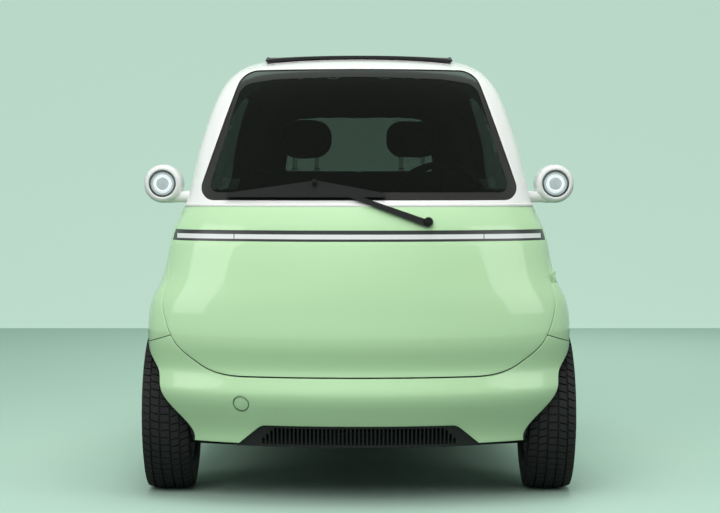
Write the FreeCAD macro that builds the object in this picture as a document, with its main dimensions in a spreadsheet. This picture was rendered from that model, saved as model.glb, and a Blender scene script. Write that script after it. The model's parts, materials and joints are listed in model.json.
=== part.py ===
import FreeCAD, Part
import math
import os
import re
from types import SimpleNamespace

import Sketcher
from FreeCAD import Placement, Rotation, Vector

# A two-seat electric microcar with a full-width front door.
# +Y runs from nose to tail, +X is the car's own left side and +Z is up.
# The origin is on the ground, below the middle of the car.

SIZES = (
    # Whole body
    ("overall_length", 2519),
    ("roof_height", 1488),
    ("body_width", 1406),
    ("nose_round", "=overall_length * 300 / 2519"),
    ("tail_round", "=overall_length * 330 / 2519"),
    ("body_bottom", "=roof_height * 200 / 1488"),
    ("belt_height", "=roof_height * 968 / 1488"),
    ("wall", 45),
    ("door_wall", 60),
    ("panel_gap", 5),
    ("fit_gap", 0.3),
    ("cut_overrun", 40),
    # Panel splits
    ("tail_split", "=roof_height * 545 / 1488"),
    # Glass
    ("glass_sink", 2),
    ("glass_thickness", 6),
    # Folding roof
    ("canopy_thickness", 13),
    ("canopy_width", 654),
    ("canopy_front", "=overall_length * 706 / 2519"),
    ("canopy_length", "=overall_length * 880 / 2519"),
    ("roof_opening_margin", 40),
    # Wheels and axles
    ("wheelbase", "=overall_length * 1566 / 2519"),
    ("front_overhang", "=overall_length * 470 / 2519"),
    ("front_track", 1278),
    ("rear_track", 1050),
    ("tyre_radius", 267.5),
    ("tyre_width", 160),
    ("tyre_shoulder", 22),
    ("rim_radius", 165),
    ("rim_wall", 7),
    ("rim_flange", 9),
    ("rim_lip", 5),
    ("bead_half_width", 62),
    ("bead_height", 11),
    ("spoke_count", 8),
    ("spoke_window_inner", 13),
    ("spoke_window_outer", 30),
    ("disc_offset", 22),
    ("disc_thickness", 10),
    ("hub_radius", 48),
    ("hub_depth", 34),
    ("spindle_radius", 15),
    ("running_gap", 0.05),
    ("kingpin_offset", 39),
    ("front_arch_radius", 296),
    ("rear_arch_radius", 292),
    ("front_house_inside", 430),
    ("rear_house_inside", 425),
    ("liner_thickness", 4),
    # Floor
    ("floor_thickness", 40),
    ("riser_place", "=overall_length * 430 / 2519"),
    ("riser_thickness", 12),
    ("luggage_floor", "=roof_height * 520 / 1488"),
    ("jack_pad_size", 60),
    ("jack_pad_depth", 14),
    ("jack_pad_across", 480),
    ("jack_pad_front", "=-overall_length * 380 / 2519"),
    ("jack_pad_rear", "=overall_length * 340 / 2519"),
    # Seat
    ("seat_width", 960),
    ("seat_front", "=-overall_length * 130 / 2519"),
    ("seat_depth", "=overall_length * 500 / 2519"),
    ("seat_top", "=roof_height * 560 / 1488"),
    ("cushion_thickness", 150),
    ("back_width", 936),
    ("back_thickness", 110),
    ("back_height", "=roof_height * 1105 / 1488"),
    ("back_rake", 70),
    ("seat_soft_round", 45),
    ("plinth_width", 900),
    ("plinth_wall", 10),
    ("battery_margin", 6),
    ("headrest_across", 217),
    ("headrest_place", "=seat_front + seat_depth + back_rake - back_thickness / 2"),
    ("headrest_height", "=roof_height * 1226 / 1488"),
    ("headrest_width", 226),
    ("headrest_tall", 158),
    ("headrest_thick", 84),
    ("post_spacing", 90),
    ("post_radius", 7),
    # Steering
    ("column_across", 290),
    ("column_tilt", 25),
    ("wheel_place", "=-overall_length * 430 / 2519"),
    ("wheel_height", "=roof_height * 955 / 1488"),
    ("wheel_rim_radius", 168),
    ("wheel_rim_tube", 13),
    ("wheel_hub_radius", 45),
    ("wheel_hub_depth", 40),
    ("column_radius", 24),
    ("column_length", 400),
    ("shaft_radius", 8),
    ("column_post_width", 60),
    ("column_post_depth", 70),
    # Lamp pods on the front pillars
    ("pod_across", 670.5),
    ("pod_height", "=roof_height * 1040 / 1488"),
    ("pod_place", "=-overall_length * 810 / 2519"),
    ("pod_radius", 66),
    ("pod_length", 150),
    ("pod_round", 24),
    ("lens_radius", 46),
    ("lens_depth", 11),
    ("mirror_radius", 54),
    ("mirror_depth", 4),
    ("stalk_radius", 22),
    ("stalk_drop", 45),
    # Light bar across the front door
    ("light_bar_height", "=roof_height * 871 / 1488"),
    ("light_bar_band", 36),
    ("light_bar_bright", 20),
    ("light_bar_depth", 14),
    ("light_bar_sink", 1),
    ("light_bar_reach", 603),
    # Dashboard beam on the front door
    ("dash_top", "=roof_height * 955 / 1488"),
    ("dash_bottom", "=roof_height * 865 / 1488"),
    ("dash_depth", 130),
    ("dash_half_width", 480),
    # Wiper
    ("wiper_pivot_across", 224),
    ("wiper_pivot_height", "=roof_height * 917 / 1488"),
    ("wiper_stand_off", 5),
    ("wiper_thickness", 9),
    ("wiper_pivot_radius", 15),
    # Grille and tow cover in the front bumper
    ("grille_top", "=roof_height * 262 / 1488"),
    ("grille_top_half_width", 315),
    ("grille_bottom_half_width", 399),
    ("grille_corner", 40),
    ("grille_frame", 9),
    ("grille_depth", 24),
    ("grille_sink", 8),
    ("grille_reach", 260),
    ("slat_count", 48),
    ("slat_width", 5),
    ("tow_cover_across", -379),
    ("tow_cover_height", "=roof_height * 334 / 1488"),
    ("tow_cover_radius", 25),
    ("tow_groove", 2),
    # Suspension and drive
    ("arm_height", "=roof_height * 158 / 1488"),
    ("arm_thickness", 16),
    ("arm_half_width", 32),
    ("upper_arm_rise", 72),
    ("subframe_half_width", 290),
    ("subframe_depth", 90),
    ("arm_spread", 150),
    ("knuckle_radius", 50),
    ("knuckle_depth", 42),
    ("kingpin_radius", 17),
    ("beam_radius", 32),
    ("trailing_arm_across", 300),
    ("trailing_arm_width", 45),
    ("trailing_arm_depth", 40),
    ("motor_radius", 92),
    ("motor_length", 300),
    ("motor_place", "=overall_length * 585 / 2519"),
    ("motor_height", 300),
    ("motor_bracket", 60),
    # Pedals
    ("pedal_place", "=-overall_length * 960 / 2519"),
    ("pedal_width", 55),
    ("pedal_height", 110),
    ("pedal_thickness", 12),
    ("pedal_spacing", 110),
    # Hinges of the front door and of the tailgate
    ("hinge_radius", 9),
    ("hinge_pin_radius", 4),
    ("hinge_length", 26),
    ("hinge_lug", 12),
    ("hinge_clearance", 3),
    ("door_hinge_across", 643),
    ("door_hinge_place", "=-overall_length * 985 / 2519"),
    ("door_hinge_height", "=roof_height * 725 / 1488"),
    ("door_strap_root", 62),
    ("door_strap_turn", 38),
    ("tail_hinge_across", 190),
    ("tail_strap_turn", 40),
    ("tail_strap_root", 41),
    # Number plate holes in the rear bumper
    ("plate_hole_radius", 2.5),
    ("plate_hole_spacing", 240),
    ("plate_hole_height", "=roof_height * 400 / 1488"),
)

doc = FreeCAD.newDocument("Microcar")
sheet = doc.addObject("Spreadsheet::Sheet", "Sizes")
for row, (name, value) in enumerate(SIZES, start=1):
    sheet.set(f"A{row}", name)
    sheet.set(f"B{row}", str(value))
    sheet.setAlias(f"B{row}", name)
doc.recompute()
dim = SimpleNamespace(**{name: float(sheet.get(name)) for name, _ in SIZES})

NODES = []

# Places worked out from the driving sizes
NOSE = -dim.overall_length / 2
TAIL = dim.overall_length / 2
HALF_WIDTH = dim.body_width / 2
FRONT_AXLE = NOSE + dim.front_overhang
REAR_AXLE = FRONT_AXLE + dim.wheelbase
FLOOR_TOP = dim.body_bottom + dim.floor_thickness
BEYOND = dim.overall_length

# The hull in plan: share of the half width, and of the rounded depth behind the nose
NOSE_PLAN_SHARES = ((0, 0), (0.36, 0.075), (0.68, 0.29), (0.90, 0.57), (0.985, 0.83), (1.0, 1.10))
# Share of the half width, and of the straight length between the rounded ends
FLANK_PLAN_SHARES = ((0.985, 0.33), (0.94, 0.66))
# Share of the half width, and of the rounded depth ahead of the tail
TAIL_PLAN_SHARES = ((0.86, 1.0), (0.80, 0.55), (0.62, 0.20), (0.33, 0.045), (0, 0))

# The hull by height: shares of roof height, of half width, of length behind the nose,
# of length ahead of the tail, and of the rounding of both ends
HULL_SHARES = (
    (0.1344, 0.930, 0.0190, 0.0318, 1.0),
    (0.2016, 0.978, 0.0075, 0.0080, 1.0),
    (0.2520, 0.994, 0.0, 0.0020, 1.0),
    (0.2860, 0.998, 0.0086, 0.0008, 1.0),
    (0.3400, 1.0, 0.0040, 0.0, 1.0),
    (0.4032, 1.0, 0.0052, 0.0008, 1.0),
    (0.4435, 0.982, 0.0079, 0.0024, 1.0),
    (0.4866, 0.939, 0.0119, 0.0040, 1.0),
    (0.5847, 0.893, 0.0262, 0.0170, 0.98),
    (0.6505, 0.836, 0.0440, 0.0357, 0.94),
    (0.7527, 0.791, 0.0933, 0.0754, 0.84),
    (0.8602, 0.734, 0.1509, 0.1310, 0.70),
    (0.9341, 0.669, 0.1985, 0.1866, 0.60),
    (0.9711, 0.597, 0.2342, 0.2342, 0.55),
    (0.9913, 0.515, 0.2739, 0.2858, 0.52),
    (1.0, 0.441, 0.3136, 0.3374, 0.50),
)
# Points mirrored past the middle line at each end, so that the surface crosses it squarely
MIRRORED_ENDS = 2


def add(label, shape):
    """A sub-part whose shape comes from surfaces and cuts."""
    node = doc.addObject("Part::Feature", label)
    node.Shape = shape
    NODES.append(node)
    return node


def keep(node, label):
    """Marks a document object as a sub-part and names it."""
    node.Label = label
    NODES.append(node)
    return node


def in_sheet(expression):
    """An expression whose words are names in the sheet."""
    return re.sub(r"[a-z]\w+", lambda word: "Sizes." + word.group(), expression)


def bind(thing, **properties):
    """Binds properties to expressions of the sheet's sizes."""
    for name, expression in properties.items():
        thing.setExpression(name.replace("__", "."), in_sheet(expression))
    return thing


def flipped(point):
    return Vector(-point.x, point.y, point.z)


def plan_points(height, half_width, nose, tail, roundness):
    """Half of the hull's outline at one height, from the nose to the tail."""
    nose_round = roundness * dim.nose_round
    tail_round = roundness * dim.tail_round
    flank_start = nose + NOSE_PLAN_SHARES[-1][1] * nose_round
    flank_end = tail - tail_round
    points = [Vector(across * half_width, nose + back * nose_round, height)
              for across, back in NOSE_PLAN_SHARES]
    points += [Vector(across * half_width, flank_start + along * (flank_end - flank_start), height)
               for across, along in FLANK_PLAN_SHARES]
    points += [Vector(across * half_width, tail - ahead * tail_round, height)
               for across, ahead in TAIL_PLAN_SHARES]
    return points


def hull_rows(inset):
    """Points of the right half of the body at each height, drawn in by an inset."""
    belt_share = dim.belt_height / dim.roof_height
    rows = []
    for up, across, nose_share, tail_share, roundness in HULL_SHARES:
        sink = max(0, (up - belt_share) / (1 - belt_share)) * inset
        height = up * dim.roof_height - sink
        if not rows and inset > 0:
            height -= dim.cut_overrun
        half = plan_points(height, across * HALF_WIDTH - inset,
                           NOSE + nose_share * dim.overall_length + inset,
                           TAIL - tail_share * dim.overall_length - inset, roundness)
        ahead = [flipped(point) for point in half[MIRRORED_ENDS:0:-1]]
        behind = [flipped(point) for point in half[-2:-2 - MIRRORED_ENDS:-1]]
        rows.append(ahead + half + behind)
    return rows


def chord_places(lines):
    """Parameters from 0 to 1, in step with the mean distance from each line to the next."""
    steps = [sum(before.distanceToPoint(after) for before, after in zip(line, following))
             for line, following in zip(lines, lines[1:])]
    return [sum(steps[:count]) / sum(steps) for count in range(len(lines))]


def curve_through(points, places):
    curve = Part.BSplineCurve()
    curve.interpolate(Points=list(points), Parameters=places)
    return curve


UPWARD = chord_places(hull_rows(0))
AROUND = chord_places(list(zip(*hull_rows(0))))


def hull(inset):
    """The closed form of the whole body, drawn in by an inset on every side."""
    rows = hull_rows(inset)
    outlines = [curve_through(row, AROUND) for row in rows]
    climbs = [curve_through(poles, UPWARD)
              for poles in zip(*(outline.getPoles() for outline in outlines))]
    surface = Part.BSplineSurface()
    surface.buildFromPolesMultsKnots(
        [list(poles) for poles in zip(*(climb.getPoles() for climb in climbs))],
        climbs[0].getMultiplicities(), outlines[0].getMultiplicities(),
        climbs[0].getKnots(), outlines[0].getKnots(), False, False,
        climbs[0].Degree, outlines[0].Degree)
    surface.segment(UPWARD[0], UPWARD[-1], AROUND[MIRRORED_ENDS], AROUND[-1 - MIRRORED_ENDS])
    right = surface.toShape()
    left = right.mirror(Vector(0, 0, 0), Vector(1, 0, 0))
    faces = [right, left]
    for level in (rows[0][0].z, rows[-1][0].z):
        rim = [edge for side in (right, left) for edge in side.Edges
               if abs(edge.BoundBox.ZMin - level) < dim.fit_gap
               and abs(edge.BoundBox.ZMax - level) < dim.fit_gap]
        faces.append(Part.Face(Part.Wire(Part.sortEdges(rim)[0])))
    shell = Part.Shell(faces)
    shell.sewShape()
    solid = Part.Solid(shell)
    if solid.Volume < 0:
        solid.reverse()
    return solid


def rounded_outline(corners):
    """A closed wire through corners, each (point, radius), with tangent arcs at the corners."""
    count = len(corners)
    trimmed = []
    for index, (point, radius) in enumerate(corners):
        before = (corners[index - 1][0] - point).normalize()
        after = (corners[(index + 1) % count][0] - point).normalize()
        if radius == 0:
            trimmed.append((point, None, point))
            continue
        half_angle = before.getAngle(after) / 2
        reach = radius / math.tan(half_angle)
        middle_way = (before + after).normalize()
        middle = point + middle_way * (radius / math.sin(half_angle) - radius)
        trimmed.append((point + before * reach, middle, point + after * reach))
    edges = []
    for index, (start, middle, end) in enumerate(trimmed):
        if middle is not None:
            edges.append(Part.Arc(start, middle, end).toShape())
        following = trimmed[(index + 1) % count][0]
        if (following - end).Length > dim.running_gap:
            edges.append(Part.LineSegment(end, following).toShape())
    return Part.Wire(edges)


def side_prism(corners, grow=0):
    """A solid right across the car with an outline drawn in side view, as (y, z, radius)."""
    wire = rounded_outline([(Vector(-BEYOND / 2, y, z), radius) for y, z, radius in corners])
    if grow:
        wire = wire.makeOffset2D(grow)
    return Part.Face(wire).extrude(Vector(BEYOND, 0, 0))


def front_wire(corners, start):
    return rounded_outline([(Vector(x, start, z), radius) for x, z, radius in corners])


def front_prism(corners, start, depth, grow=0):
    """A solid along the car with an outline drawn in front view, as (x, z, radius)."""
    wire = front_wire(corners, start)
    if grow:
        wire = wire.makeOffset2D(grow)
    return Part.Face(wire).extrude(Vector(0, depth, 0))


def side_shares(rows):
    """Side-view corners from shares of length behind the nose and of roof height."""
    return [(NOSE + back * dim.overall_length, up * dim.roof_height, turn * dim.nose_round)
            for back, up, turn in rows]


def front_shares(rows):
    """Mirrored front-view corners from shares of half width and of roof height."""
    right = [(across * HALF_WIDTH, up * dim.roof_height, turn * dim.nose_round)
             for across, up, turn in rows]
    return right + [(-x, z, radius) for x, z, radius in reversed(right)]


def slab(low, high):
    """All that lies between two heights."""
    return Part.makeBox(BEYOND, 2 * BEYOND, high - low, Vector(-BEYOND / 2, -BEYOND, low))


def block(low, high):
    """A box from its lowest to its highest corner."""
    return Part.makeBox(high[0] - low[0], high[1] - low[1], high[2] - low[2], Vector(*low))


def bar_across(radius, place, height, start, end):
    """A round bar along X."""
    return Part.makeCylinder(radius, end - start, Vector(start, place, height), Vector(1, 0, 0))


def both_sides(shape):
    return [shape, shape.mirror(Vector(0, 0, 0), Vector(1, 0, 0))]


# Side-view outline of the front door: behind the nose, height, corner radius
DOOR_SIDE_SHARES = (
    (-0.02, 0.2836, 0), (0.0437, 0.2836, 0.2), (0.0734, 0.4032, 0.7), (0.125, 0.5914, 0.6),
    (0.133, 0.6505, 0), (0.2779, 0.961, 0.2), (0.2779, 1.06, 0), (-0.02, 1.06, 0),
)
TAILGATE_SIDE_SHARES = (
    (0.905, 0.65, 0.5), (0.762, 0.968, 0.1), (0.762, 1.06, 0), (1.02, 1.06, 0),
)
SIDE_WINDOW_SHARES = (
    (0.1985, 0.6855, 0.12), (0.651, 0.6855, 0.25), (0.5955, 0.9308, 0.3), (0.2938, 0.9308, 0.2),
)
# Front-view outlines: share of half width, height, corner radius
BUMPER_SPLIT_SHARES = ((1.1, -0.1, 0), (1.1, 0.331, 0), (0.866, 0.369, 0))
WINDSCREEN_SHARES = ((0.77, 0.662, 0.15), (0.576, 0.966, 0.25))
REAR_WINDOW_SHARES = ((0.60, 0.712, 0.25), (0.46, 0.921, 0.22))

outer = hull(0)
shell = outer.cut(hull(dim.wall))
door_shell = outer.cut(hull(dim.door_wall))
glass_outside = hull(dim.glass_sink)
glass_inside = hull(dim.glass_sink + dim.glass_thickness)

door_outline = side_shares(DOOR_SIDE_SHARES)
tailgate_low = dim.tail_split + dim.panel_gap
tailgate_outline = side_shares(TAILGATE_SIDE_SHARES)
tailgate_side = tailgate_outline[0][0]
tailgate_outline += [(TAIL + dim.cut_overrun, tailgate_low, 0),
                     (tailgate_side, tailgate_low, dim.cut_overrun)]
door_region = side_prism(door_outline)
door_opening = side_prism(door_outline, dim.panel_gap)
tailgate_region = side_prism(tailgate_outline)
tailgate_opening = side_prism(tailgate_outline, dim.panel_gap)

above_belt = slab(dim.belt_height, 2 * dim.roof_height)
below_belt = slab(-dim.roof_height, dim.belt_height)
front_arches = both_sides(bar_across(dim.front_arch_radius, FRONT_AXLE, dim.tyre_radius,
                                     dim.front_house_inside, BEYOND))
rear_arches = both_sides(bar_across(dim.rear_arch_radius, REAR_AXLE, dim.tyre_radius,
                                    dim.rear_house_inside, BEYOND))
arches = front_arches + rear_arches

windscreen_start = NOSE - dim.cut_overrun
windscreen_hole = front_prism(front_shares(WINDSCREEN_SHARES), windscreen_start, BEYOND / 2)
rear_window_hole = front_prism(front_shares(REAR_WINDOW_SHARES), BEYOND / 8, BEYOND)
side_window_hole = side_prism(side_shares(SIDE_WINDOW_SHARES))
windscreen_fit = front_prism(front_shares(WINDSCREEN_SHARES), windscreen_start, BEYOND / 2, -dim.fit_gap)
rear_window_fit = front_prism(front_shares(REAR_WINDOW_SHARES), BEYOND / 8, BEYOND, -dim.fit_gap)
side_window_fit = side_prism(side_shares(SIDE_WINDOW_SHARES), -dim.fit_gap)

# Front bumper, with its lower grille opening and the round tow cover's groove
bumper_zone = front_prism(front_shares(BUMPER_SPLIT_SHARES), -BEYOND, BEYOND + FRONT_AXLE)
grille_corners = [
    (dim.grille_bottom_half_width, dim.body_bottom - dim.grille_frame, 0),
    (dim.grille_top_half_width, dim.grille_top, dim.grille_corner),
    (-dim.grille_top_half_width, dim.grille_top, dim.grille_corner),
    (-dim.grille_bottom_half_width, dim.body_bottom - dim.grille_frame, 0),
]
grille_hole = front_prism(grille_corners, windscreen_start, dim.grille_reach)
tow_ring_place = Vector(dim.tow_cover_across, windscreen_start, dim.tow_cover_height)
tow_ring = Part.makeCylinder(dim.tow_cover_radius + dim.tow_groove, BEYOND / 4, tow_ring_place,
                             Vector(0, 1, 0))
tow_ring = tow_ring.cut(Part.makeCylinder(dim.tow_cover_radius, BEYOND / 4, tow_ring_place,
                                          Vector(0, 1, 0)))
tow_groove = tow_ring.cut(hull(dim.tow_groove))
front_bumper = shell.common(bumper_zone).cut([door_opening, grille_hole, tow_groove] + front_arches)
add("front_bumper", front_bumper)


class Hinge:
    """A pin between two lugs on the fixed side, and a barrel with a strap on the moving side."""

    def __init__(self, place, direction, strap):
        self.place = place
        self.direction = direction
        self.strap = strap.normalize()

    def rod(self, radius, start, end):
        foot = self.place + self.direction * start
        return Part.makeCylinder(radius, end - start, foot, self.direction)

    def arm(self, half_width, start, end, half_length):
        """A flat arm from the pin along the strap's line."""
        across = self.direction.cross(self.strap)
        corners = [self.place - self.direction * half_length + self.strap * along + across * aside
                   for along, aside in ((start, -half_width), (end, -half_width), (end, half_width),
                                        (start, half_width))]
        face = Part.Face(Part.makePolygon(corners + corners[:1]))
        return face.extrude(self.direction * (2 * half_length))

    def fixed(self):
        half = dim.hinge_length / 2 + dim.fit_gap
        pin = self.rod(dim.hinge_pin_radius, -half - dim.hinge_lug, half + dim.hinge_lug)
        return pin.fuse([self.rod(dim.hinge_radius, -half - dim.hinge_lug, -half),
                         self.rod(dim.hinge_radius, half, half + dim.hinge_lug)])

    def moving(self, reach):
        half = dim.hinge_length / 2
        barrel = self.rod(dim.hinge_radius, -half, half)
        barrel = barrel.fuse(self.arm(dim.hinge_radius * 2 / 3, 0, reach, half))
        return barrel.cut(self.rod(dim.hinge_pin_radius + dim.running_gap, -half, half))

    def recess(self, sweep):
        """Room in the fixed side for the barrel and for the strap as it swings."""
        half = dim.hinge_length / 2 + dim.fit_gap
        room = dim.hinge_radius + dim.hinge_clearance
        swept = self.arm(sweep / 2 + room / 2, 0, sweep, half)
        swept.translate(self.direction.cross(self.strap) * (sweep / 2 - room / 2))
        return self.rod(room, -half, half).fuse(swept)

    def lug_room(self):
        half = dim.hinge_length / 2 + dim.hinge_lug + dim.hinge_clearance
        return self.rod(dim.hinge_radius + dim.hinge_clearance, -half, half)


strap_turn = math.radians(dim.door_strap_turn)
door_hinge = Hinge(Vector(dim.door_hinge_across, dim.door_hinge_place, dim.door_hinge_height),
                   Vector(0, 0, 1), Vector(-math.sin(strap_turn), -math.cos(strap_turn), 0))
tail_hinge_place = tailgate_outline[1][0] - dim.panel_gap / 2
crown_line = Part.makeLine(Vector(0, tail_hinge_place, dim.belt_height),
                           Vector(0, tail_hinge_place, 2 * dim.roof_height))
tail_hinge_height = outer.common(crown_line).BoundBox.ZMax
strap_drop = math.radians(dim.tail_strap_turn)
tail_hinges = [Hinge(Vector(side * dim.tail_hinge_across, tail_hinge_place, tail_hinge_height),
                     Vector(1, 0, 0), Vector(0, math.cos(strap_drop), -math.sin(strap_drop)))
               for side in (-1, 1)]

slot_pitch = 2 * dim.grille_top_half_width / dim.slat_count
slot_half = (slot_pitch - dim.slat_width) / 2
slot_low = dim.body_bottom
slots = []
for index in range(int(dim.slat_count)):
    middle = (index + 0.5) * slot_pitch - dim.grille_top_half_width
    drop = max(0, abs(middle) + dim.grille_corner - dim.grille_top_half_width)
    slot_high = dim.grille_top - dim.grille_frame - drop
    slots.append(Part.Face(Part.makePolygon([
        Vector(middle - slot_half, windscreen_start, slot_low),
        Vector(middle + slot_half, windscreen_start, slot_low),
        Vector(middle + slot_half, windscreen_start, slot_high),
        Vector(middle - slot_half, windscreen_start, slot_high),
        Vector(middle - slot_half, windscreen_start, slot_low),
    ])))
grille_face = Part.Face(front_wire(grille_corners, windscreen_start).makeOffset2D(-dim.fit_gap))
comb = grille_face.cut(slots).extrude(Vector(0, dim.grille_reach, 0))
grille = comb.common(hull(dim.grille_sink)).cut(hull(dim.grille_sink + dim.grille_depth))
add("lower_grille", grille)

# Rear bumper, with two holes for a number plate
tail_zone = block((-BEYOND, REAR_AXLE, -BEYOND), (BEYOND, BEYOND, dim.tail_split))
plate_holes = [Part.makeCylinder(dim.plate_hole_radius, BEYOND,
                                 Vector(side * dim.plate_hole_spacing / 2, REAR_AXLE,
                                        dim.plate_hole_height), Vector(0, 1, 0))
               for side in (-1, 1)]
rear_bumper = shell.common(tail_zone).cut([tailgate_opening] + rear_arches + plate_holes)
add("rear_bumper", rear_bumper)

# Green side panels, from the front fender to the tail
sides = shell.common(below_belt).cut(
    [door_opening, tailgate_opening, bumper_zone, tail_zone] + arches)
for panel in sides.Solids:
    if panel.CenterOfMass.x > 0:
        panel = panel.cut(door_hinge.recess(dim.door_strap_root)).fuse(door_hinge.fixed())
        add("side_panel_left", panel)
    else:
        add("side_panel_right", panel)

# White roof with its pillars, open for the windows and the folding roof
canopy_start = NOSE + dim.canopy_front
canopy_end = canopy_start + dim.canopy_length
margin = dim.roof_opening_margin
roof_opening = block((-dim.canopy_width / 2 + margin, canopy_start + margin, dim.belt_height),
                     (dim.canopy_width / 2 - margin, canopy_end - margin, 2 * dim.roof_height))
roof = shell.common(above_belt).cut(
    [door_opening, tailgate_opening, side_window_hole, roof_opening])
for hinge in tail_hinges:
    room = dim.hinge_length / 2 + dim.fit_gap
    roof = roof.cut(hinge.rod(dim.hinge_radius + dim.hinge_clearance, -room, room))
    roof = roof.fuse(hinge.fixed())
add("roof_shell", roof)
canopy_plan = block((-dim.canopy_width / 2, canopy_start, dim.belt_height),
                    (dim.canopy_width / 2, canopy_end, 2 * dim.roof_height))
canopy = canopy_plan.common(hull(-dim.canopy_thickness)).cut(hull(-dim.fit_gap))
add("folding_roof", canopy)

side_windows = side_window_fit.common(glass_outside).cut(glass_inside)
add("side_windows", side_windows)

# Front door: green panel, white windscreen frame, glass, light bar and dashboard beam
band_low = dim.light_bar_height - dim.light_bar_band / 2
band_high = dim.light_bar_height + dim.light_bar_band / 2
band = slab(band_low, band_high)
band_groove = band.cut(hull(dim.light_bar_depth))
door_panel = door_shell.common(door_region).common(below_belt).cut(band_groove)
door_panel = door_panel.cut(door_hinge.lug_room()).fuse(door_hinge.moving(dim.door_strap_root))
add("door_panel", door_panel)
windscreen_frame = shell.common(door_region).common(above_belt).cut(windscreen_hole)
add("windscreen_frame", windscreen_frame)
windscreen = windscreen_fit.common(door_region).common(glass_outside).cut(glass_inside)
add("windscreen", windscreen)

bar_low = dim.light_bar_height - dim.light_bar_bright / 2
bar_high = dim.light_bar_height + dim.light_bar_bright / 2
band_outside = hull(dim.light_bar_sink)
band_inside = hull(dim.light_bar_depth - dim.fit_gap)
band_fit = slab(band_low + dim.fit_gap, band_high - dim.fit_gap)
light_layer = band_fit.common(door_region).common(band_outside).cut(band_inside)
bright_zone = block((-dim.light_bar_reach, -BEYOND, bar_low), (dim.light_bar_reach, 0, bar_high))
add("light_bar", light_layer.common(bright_zone))
add("light_bar_trim", light_layer.cut(bright_zone))

dash_zone = block((-dim.dash_half_width, -BEYOND, dim.dash_bottom),
                  (dim.dash_half_width, NOSE + 3 * dim.dash_depth, dim.dash_top))
dash = dash_zone.common(hull(dim.door_wall + dim.fit_gap)).cut(hull(dim.door_wall + dim.dash_depth))
add("dashboard", dash)

# Wiper, laid on the windscreen
wiper_outside = hull(-dim.wiper_stand_off - dim.wiper_thickness)
wiper_inside = hull(-dim.wiper_stand_off)
WIPER_ARM_SHARES = ((0.33, 0.618), (0.32, 0.604), (-0.21, 0.698), (-0.21, 0.706))
WIPER_BLADE_SHARES = ((-0.62, 0.669), (0.12, 0.669), (0.12, 0.678), (-0.20, 0.706), (-0.62, 0.678))
strips = [front_prism([(across * HALF_WIDTH, up * dim.roof_height, 0) for across, up in shares],
                      NOSE - BEYOND / 8, BEYOND / 3)
          for shares in (WIPER_ARM_SHARES, WIPER_BLADE_SHARES)]
wiper_parts = [strip.common(wiper_outside).cut(wiper_inside) for strip in strips]
pivot_shaft = Part.makeCylinder(dim.wiper_pivot_radius, BEYOND / 4,
                                Vector(dim.wiper_pivot_across, NOSE - BEYOND / 8,
                                       dim.wiper_pivot_height), Vector(0, 1, 0))
pivot = pivot_shaft.common(wiper_outside).cut(hull(-dim.fit_gap))
wiper = wiper_parts[0].fuse([wiper_parts[1], pivot])
add("wiper", wiper)

# Tailgate: green panel, white frame and glass
tail_shell = shell.common(tailgate_region)
add("tailgate_panel", tail_shell.common(below_belt).cut(band_groove))
tailgate_frame = tail_shell.common(above_belt).cut(rear_window_hole)
for hinge in tail_hinges:
    tailgate_frame = tailgate_frame.cut(hinge.lug_room())
    tailgate_frame = tailgate_frame.fuse(hinge.moving(dim.tail_strap_root))
add("tailgate_frame", tailgate_frame)
rear_window = rear_window_fit.common(tailgate_region).common(glass_outside).cut(glass_inside)
add("rear_window", rear_window)
add("tail_lamp", band_fit.common(tailgate_region).common(band_outside).cut(band_inside))

# Floor with its riser and luggage floor, and four jacking pads below
inside = hull(dim.wall + dim.fit_gap)
riser_back = dim.riser_place + dim.riser_thickness
floor_profile = side_prism([
    (NOSE, dim.body_bottom, 0), (riser_back, dim.body_bottom, 0), (riser_back, dim.luggage_floor, 0),
    (TAIL, dim.luggage_floor, 0), (TAIL, dim.luggage_floor + dim.riser_thickness, 0),
    (dim.riser_place, dim.luggage_floor + dim.riser_thickness, 0), (dim.riser_place, FLOOR_TOP, 0),
    (NOSE, FLOOR_TOP, 0),
])
pads = [block((side * dim.jack_pad_across - dim.jack_pad_size / 2, place - dim.jack_pad_size / 2,
               dim.body_bottom - dim.jack_pad_depth),
              (side * dim.jack_pad_across + dim.jack_pad_size / 2, place + dim.jack_pad_size / 2,
               dim.body_bottom))
        for side in (-1, 1) for place in (dim.jack_pad_front, dim.jack_pad_rear)]
floor = inside.common(floor_profile).cut(arches).fuse(pads)
add("floor_pan", floor)

# Wheel-house liners: a curved sheet over the wheel and a flat inner wall
liners = []
for radius, place, inner in ((dim.front_arch_radius, FRONT_AXLE, dim.front_house_inside),
                             (dim.rear_arch_radius, REAR_AXLE, dim.rear_house_inside)):
    sheet_out = radius - dim.fit_gap
    drum = bar_across(sheet_out, place, dim.tyre_radius, inner + dim.fit_gap, BEYOND)
    hollow = bar_across(sheet_out - dim.liner_thickness, place, dim.tyre_radius,
                        inner + dim.fit_gap + dim.liner_thickness, BEYOND)
    liner = drum.cut(hollow).common(slab(dim.body_bottom, BEYOND)).common(hull(dim.liner_thickness))
    liners += both_sides(liner)
axle_room = bar_across(dim.spindle_radius + dim.liner_thickness, REAR_AXLE, dim.tyre_radius,
                       -BEYOND, BEYOND)
add("wheel_liners", Part.makeCompound([liner.cut(axle_room) for liner in liners]))


def origin_plane(body, role):
    return next(feature for feature in body.Origin.OriginFeatures if feature.Role == role)


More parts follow.
